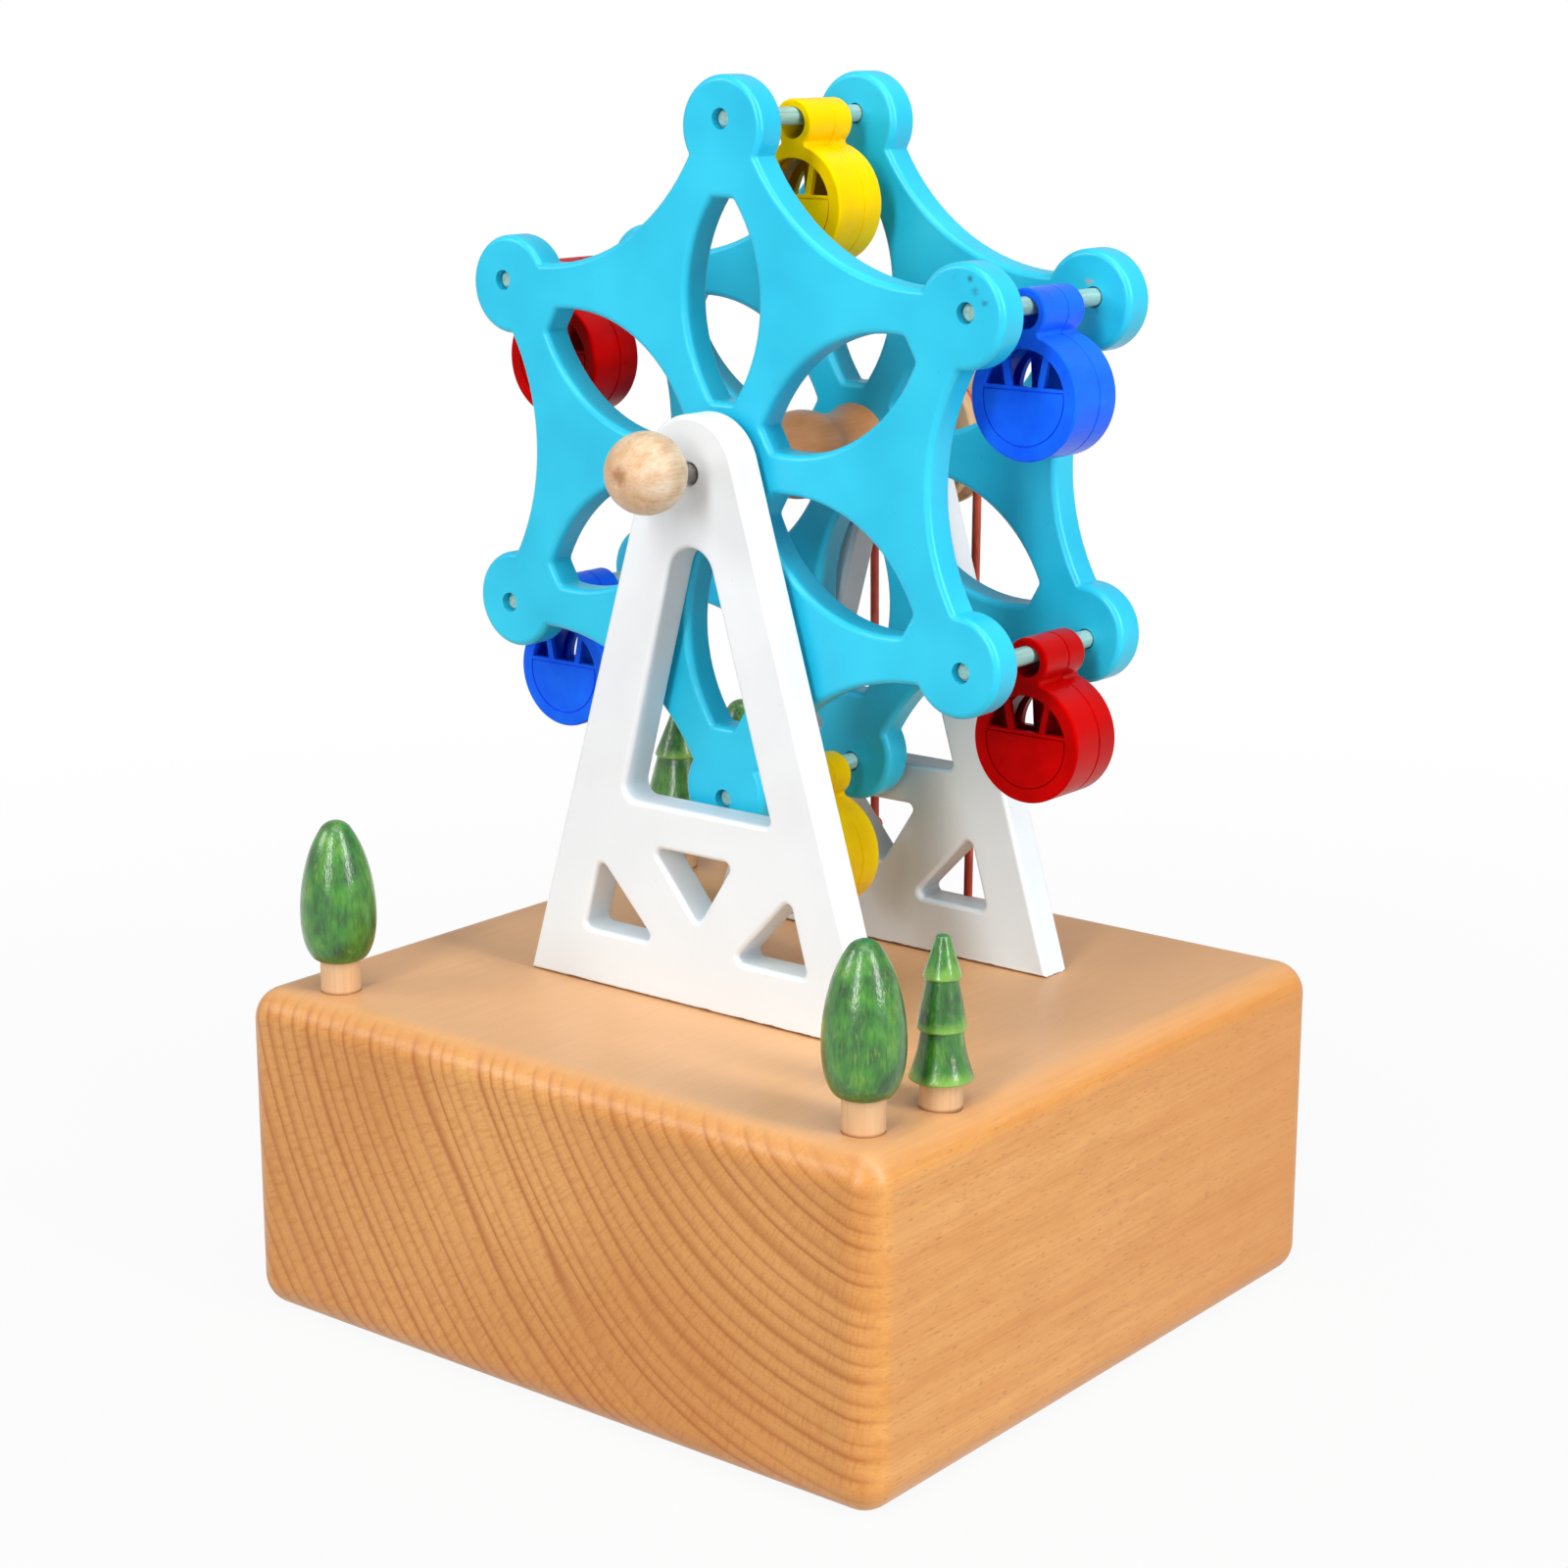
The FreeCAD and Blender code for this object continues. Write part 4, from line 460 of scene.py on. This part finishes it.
def moulded_abs(name, light, deep):
    """Glossy injection-moulded ABS: even colour, soft flow marks and a few hairline scuffs."""
    finish = new_finish(name, Specular_IOR_Level=0.16, Specular_Tint=hex_colour(light), IOR=1.53)
    tree = finish.tree
    skin = patterns(finish, flow=(5, 9, 5, 2), scuff=(0.35, 4.0, 2.0, 0), grain=(0.5, 0.5, 0.5, 1))
    colour = add(tree, "ShaderNodeValToRGB", {0: skin.flow}, stops=[(0.32, deep), (0.66, light)])
    scuff = add(tree, "ShaderNodeValToRGB", {0: skin.scuff}, stops=[(0.7, 0.0), (0.8, 0.1)])
    colour = add(tree, "ShaderNodeMixRGB", {"Fac": scuff, "Color1": colour,
                                            "Color2": hex_colour("#FFFFFF")}, blend_type="SOFT_LIGHT")
    gloss = add(tree, "ShaderNodeMapRange", {0: skin.flow, 1: 0.3, 2: 0.7, 3: 0.26, 4: 0.36})
    return apply_finish(finish, colour, gloss, skin.grain, 0.008)


def round_belt():
    # round polyurethane belt, extruded and welded: brick red, slightly translucent, with dusty streaks
    finish = new_finish("extruded_polyurethane", Roughness=0.38, Subsurface_Weight=0.2,
                        Subsurface_Scale=MM)
    tree = finish.tree
    skin = patterns(finish, tone=(3, 3, 9, 2), dusty=(0.4, 0.4, 3.0, 1))
    colour = add(tree, "ShaderNodeValToRGB", {0: skin.tone}, stops=[(0.3, "#9E2F1A"), (0.65, "#C14C2C")])
    dusty = add(tree, "ShaderNodeValToRGB", {0: skin.dusty}, stops=[(0.6, 0.0), (0.75, 0.35)])
    colour = add(tree, "ShaderNodeMixRGB", {"Fac": dusty, "Color1": colour,
                                            "Color2": hex_colour("#D98A6B")})
    return apply_finish(finish, colour, height=skin.dusty, depth=0.02)


def worked_metal(name, light, deep, lines, relief, rough):
    """Bare metal; lines gives the cell of its tool marks in millimetres, relief their depth."""
    finish = new_finish(name, Metallic=1.0)
    tree = finish.tree
    marks = patterns(finish, tool=(*lines, 2), stain=(6, 6, 6, 2))
    colour = add(tree, "ShaderNodeValToRGB", {0: marks.stain}, stops=[(0.3, deep), (0.68, light)])
    gloss = add(tree, "ShaderNodeMapRange", {0: marks.tool, 1: 0.3, 2: 0.7, 3: rough, 4: rough + 0.14})
    return apply_finish(finish, colour, gloss, marks.tool, relief)


def slot_materials():
    """One finish for each material slot of the record."""
    return {
        "beech_block": sawn_beech(),
        "plywood": veneered_panel(),
        "white_paint": white_enamel(),
        "cyan_paint": sky_enamel(),
        # dowel stock, planed and unfinished: dull, pale, with the grain along the dowel
        "pale_dowel": turned_beech("bare_beech_dowel", (9, 14, 0), GRAIN_UP, ALONG_Z, "#E0BB92", "#D6AD82",
                                   "#C4925E", "#D5A877", Roughness=0.55),
        "green_stain": stained_crown("green_dyed_lacquered_egg"),
        # turned spacer under brown wood stain: dark ring bands and a dull sheen
        "brown_turning": turned_beech("brown_stained_beech", (12, 0, 124), (0, 0, 0), ALONG_Y, "#CC8E58",
                                      "#B07440", "#8A5028", "#8E5A30", Roughness=0.35, Coat_Weight=0.3),
        "rod_green": rod_enamel(),
        # drawn steel: fine lines along the shaft
        "steel": worked_metal("drawn_steel", "#A9A6A1", "#85807A", (0.2, 6, 0.2), 0.006, 0.24),
        # zinc die casting: fine grey grain
        "cast_bed": worked_metal("zinc_die_casting", "#8E8F93", "#74757A", (0.5, 0.5, 0.5), 0.03, 0.42),
        # ground spring steel: cross-ground bright lines
        "comb_steel": worked_metal("ground_spring_steel", "#A6A8AC", "#8B8D92", (3, 0.15, 3), 0.006, 0.22),
        # turned brass: warm yellow with lathe rings
        "brass": worked_metal("turned_brass", "#D2AE5E", "#B88F40", (0.2, 4, 4), 0.006, 0.22),
        "belt_red": round_belt(),
        "yellow_plastic": moulded_abs("yellow_moulded_abs", "#FCD400", "#F6C800"),
        "blue_plastic": moulded_abs("blue_moulded_abs", "#1D6FFF", "#1760FA"),
        "red_plastic": moulded_abs("red_moulded_abs", "#C00202", "#AC0101"),
    }


# ---- floor and surroundings ----------------------------------------------------------------

def studio_floor():
    """A pale sweep that takes the object's shadow and fades to plain white away from it."""
    finish = new_finish("white_sweep", Roughness=0.9)
    tree = finish.tree
    finish.shader.inputs["Base Color"].default_value = grey(0.5)
    glow = add(tree, "ShaderNodeEmission", {"Color": grey(1.0), "Strength": 1.0})
    away = add(tree, "ShaderNodeVectorMath", {0: finish.place}, operation="LENGTH")
    bare = add(tree, "ShaderNodeMapRange", {0: (away, "Value"), 1: 90.0, 2: 420.0, 3: 0.93, 4: 1.0})
    path = add(tree, "ShaderNodeLightPath")
    seen = add(tree, "ShaderNodeMath", {0: (path, "Is Camera Ray"), 1: (path, "Is Glossy Ray")},
               operation="MAXIMUM")
    seen = add(tree, "ShaderNodeMath", {0: seen, 1: (path, "Is Transmission Ray")}, operation="MAXIMUM")
    lit = add(tree, "ShaderNodeMath", {0: seen, 1: bare}, operation="MULTIPLY")
    mix = add(tree, "ShaderNodeMixShader", {0: lit, 1: finish.shader, 2: glow})
    tree.links.new(mix.outputs[0], tree.nodes["Material Output"].inputs[0])
    bpy.ops.object.select_all(action="DESELECT")
    bpy.ops.mesh.primitive_plane_add(size=12)
    floor = bpy.context.object
    floor.name = "studio_floor"
    floor.data.materials.append(finish.made)


def studio_world():
    """White to the camera, bright in reflections and nearly dark as a light."""
    world = bpy.data.worlds.new("studio_world")
    bpy.context.scene.world = world
    world.use_nodes = True
    tree = world.node_tree
    back = tree.nodes["Background"]
    path = add(tree, "ShaderNodeLightPath")
    mirrored = add(tree, "ShaderNodeMapRange", {0: (path, "Is Glossy Ray"), 3: 0.02, 4: 0.6})
    level = add(tree, "ShaderNodeMix", {"Factor": (path, "Is Camera Ray"), "A": mirrored, "B": 1.0})
    back.inputs["Color"].default_value = grey(1.0)
    tree.links.new(level.outputs[0], back.inputs["Strength"])


# ---- pieces --------------------------------------------------------------------------------

def fill_egg_foot(surface):
    """Rounds an egg crown out below its widest ring; it starts and ends in edit mode."""
    bpy.ops.mesh.subdivide(number_cuts=3)
    bpy.ops.object.mode_set(mode="OBJECT")
    places = [vertex.co for vertex in surface.vertices]
    foot = min(place.z for place in places)
    middle = Vector([(min(place[axis] for place in places) + max(place[axis] for place in places)) / 2
                     for axis in (0, 1)])
    for place in places:
        rise, out = (place.z - foot) / MM, place.xy - middle
        if EGG_KEPT_RISE < rise < EGG_BELLY_RISE and out.length > EGG_KEPT_RAD * MM:
            share = math.sin(math.pi / 2 * (rise / EGG_BELLY_RISE) ** EGG_SLOPE)
            radius = EGG_FOOT_RAD + (EGG_BELLY_RAD - EGG_FOOT_RAD) * share
            place.xy = middle + out.normalized() * radius * MM
    bpy.ops.object.mode_set(mode="EDIT")


def mark_hard_edges():
    """In edit mode, marks the hard edges of the piece, and no others."""
    bpy.ops.mesh.select_mode(type="EDGE")
    bpy.ops.mesh.select_all(action="SELECT")
    bpy.ops.mesh.mark_sharp(clear=True)
    bpy.ops.mesh.select_all(action="DESELECT")
    bpy.ops.mesh.edges_select_sharp(sharpness=SMOOTH_BELOW)
    bpy.ops.mesh.mark_sharp()
    bpy.ops.mesh.select_mode(type="FACE")


def select_flats(surface):
    """Selects a piece's flats: all faces of each plane that holds enough of its surface."""
    planes = [(*(round(value, 3) for value in face.normal), round(face.center.dot(face.normal) / MM, 2))
              for face in surface.polygons]
    areas = {}
    for plane, face in zip(planes, surface.polygons):
        areas[plane] = areas.get(plane, 0.0) + face.area
    least = FLAT_SHARE * sum(areas.values())
    for plane, face in zip(planes, surface.polygons):
        face.select = areas[plane] > least


def smooth_surface(name, body, material):
    """A welded, smoothly shaded copy that stands for a node in sight, with crisp hard edges and flats."""
    bpy.ops.object.select_all(action="DESELECT")
    piece = bpy.data.objects.new(f"{name}_surface", frame["nodes"][name].data.copy())
    bpy.context.collection.objects.link(piece)
    bpy.context.view_layer.objects.active = piece
    piece.select_set(True)
    bpy.ops.object.mode_set(mode="EDIT")
    bpy.ops.mesh.select_mode(type="FACE")
    bpy.ops.mesh.select_all(action="SELECT")
    bpy.ops.mesh.remove_doubles(threshold=WELD_WITHIN)
    if name.startswith("tree_crown_egg"):
        fill_egg_foot(piece.data)
    bpy.ops.object.mode_set(mode="OBJECT")
    bpy.ops.object.shade_smooth()
    bpy.ops.object.mode_set(mode="EDIT")
    mark_hard_edges()
    bpy.ops.object.mode_set(mode="OBJECT")
    # flats stay flat where they run into rounded edges
    select_flats(piece.data)
    bpy.ops.object.mode_set(mode="EDIT")
    bpy.ops.mesh.mod_weighted_strength(set=True, face_strength="STRONG")
    bpy.ops.object.mode_set(mode="OBJECT")
    bpy.ops.object.modifier_add(type="WEIGHTED_NORMAL")
    weighted = piece.modifiers[-1]
    weighted.keep_sharp = True
    weighted.use_face_influence = True
    weighted.weight = 80
    bpy.ops.object.modifier_apply(modifier=weighted.name)
    piece.data.materials.clear()
    piece.data.materials.append(material)
    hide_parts(name)
    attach(piece, body)


def dress_nodes():
    """Gives every node its finish, and every node in sight a smooth surface."""
    materials = slot_materials()
    own = {
        "crank_knob": bare_ball(),
        "tree_crown_fir_right": stained_crown("green_dyed_lacquered_small_fir", SMALL_FIR_RIMS),
        "tree_crown_fir_left": stained_crown("green_dyed_lacquered_large_fir", LARGE_FIR_RIMS),
    }
    groups = frame["record"]["behaviour"]["bodies"]
    body_of = {name: body for body, members in groups.items() for name in members}
    for part in frame["record"]["subparts"]:
        name, slot = part["node"], part["material_slot"]
        material = own.get(name) or materials[slot]
        if name in INSIDE:
            node = frame["nodes"][name]
            node.data.materials.clear()
            node.data.materials.append(material)
        else:
            smooth_surface(name, body_of[name], material)


bpy.context.scene.view_settings.view_transform = "Standard"
studio_camera()
studio_lights()
studio_world()
studio_floor()
dress_nodes()
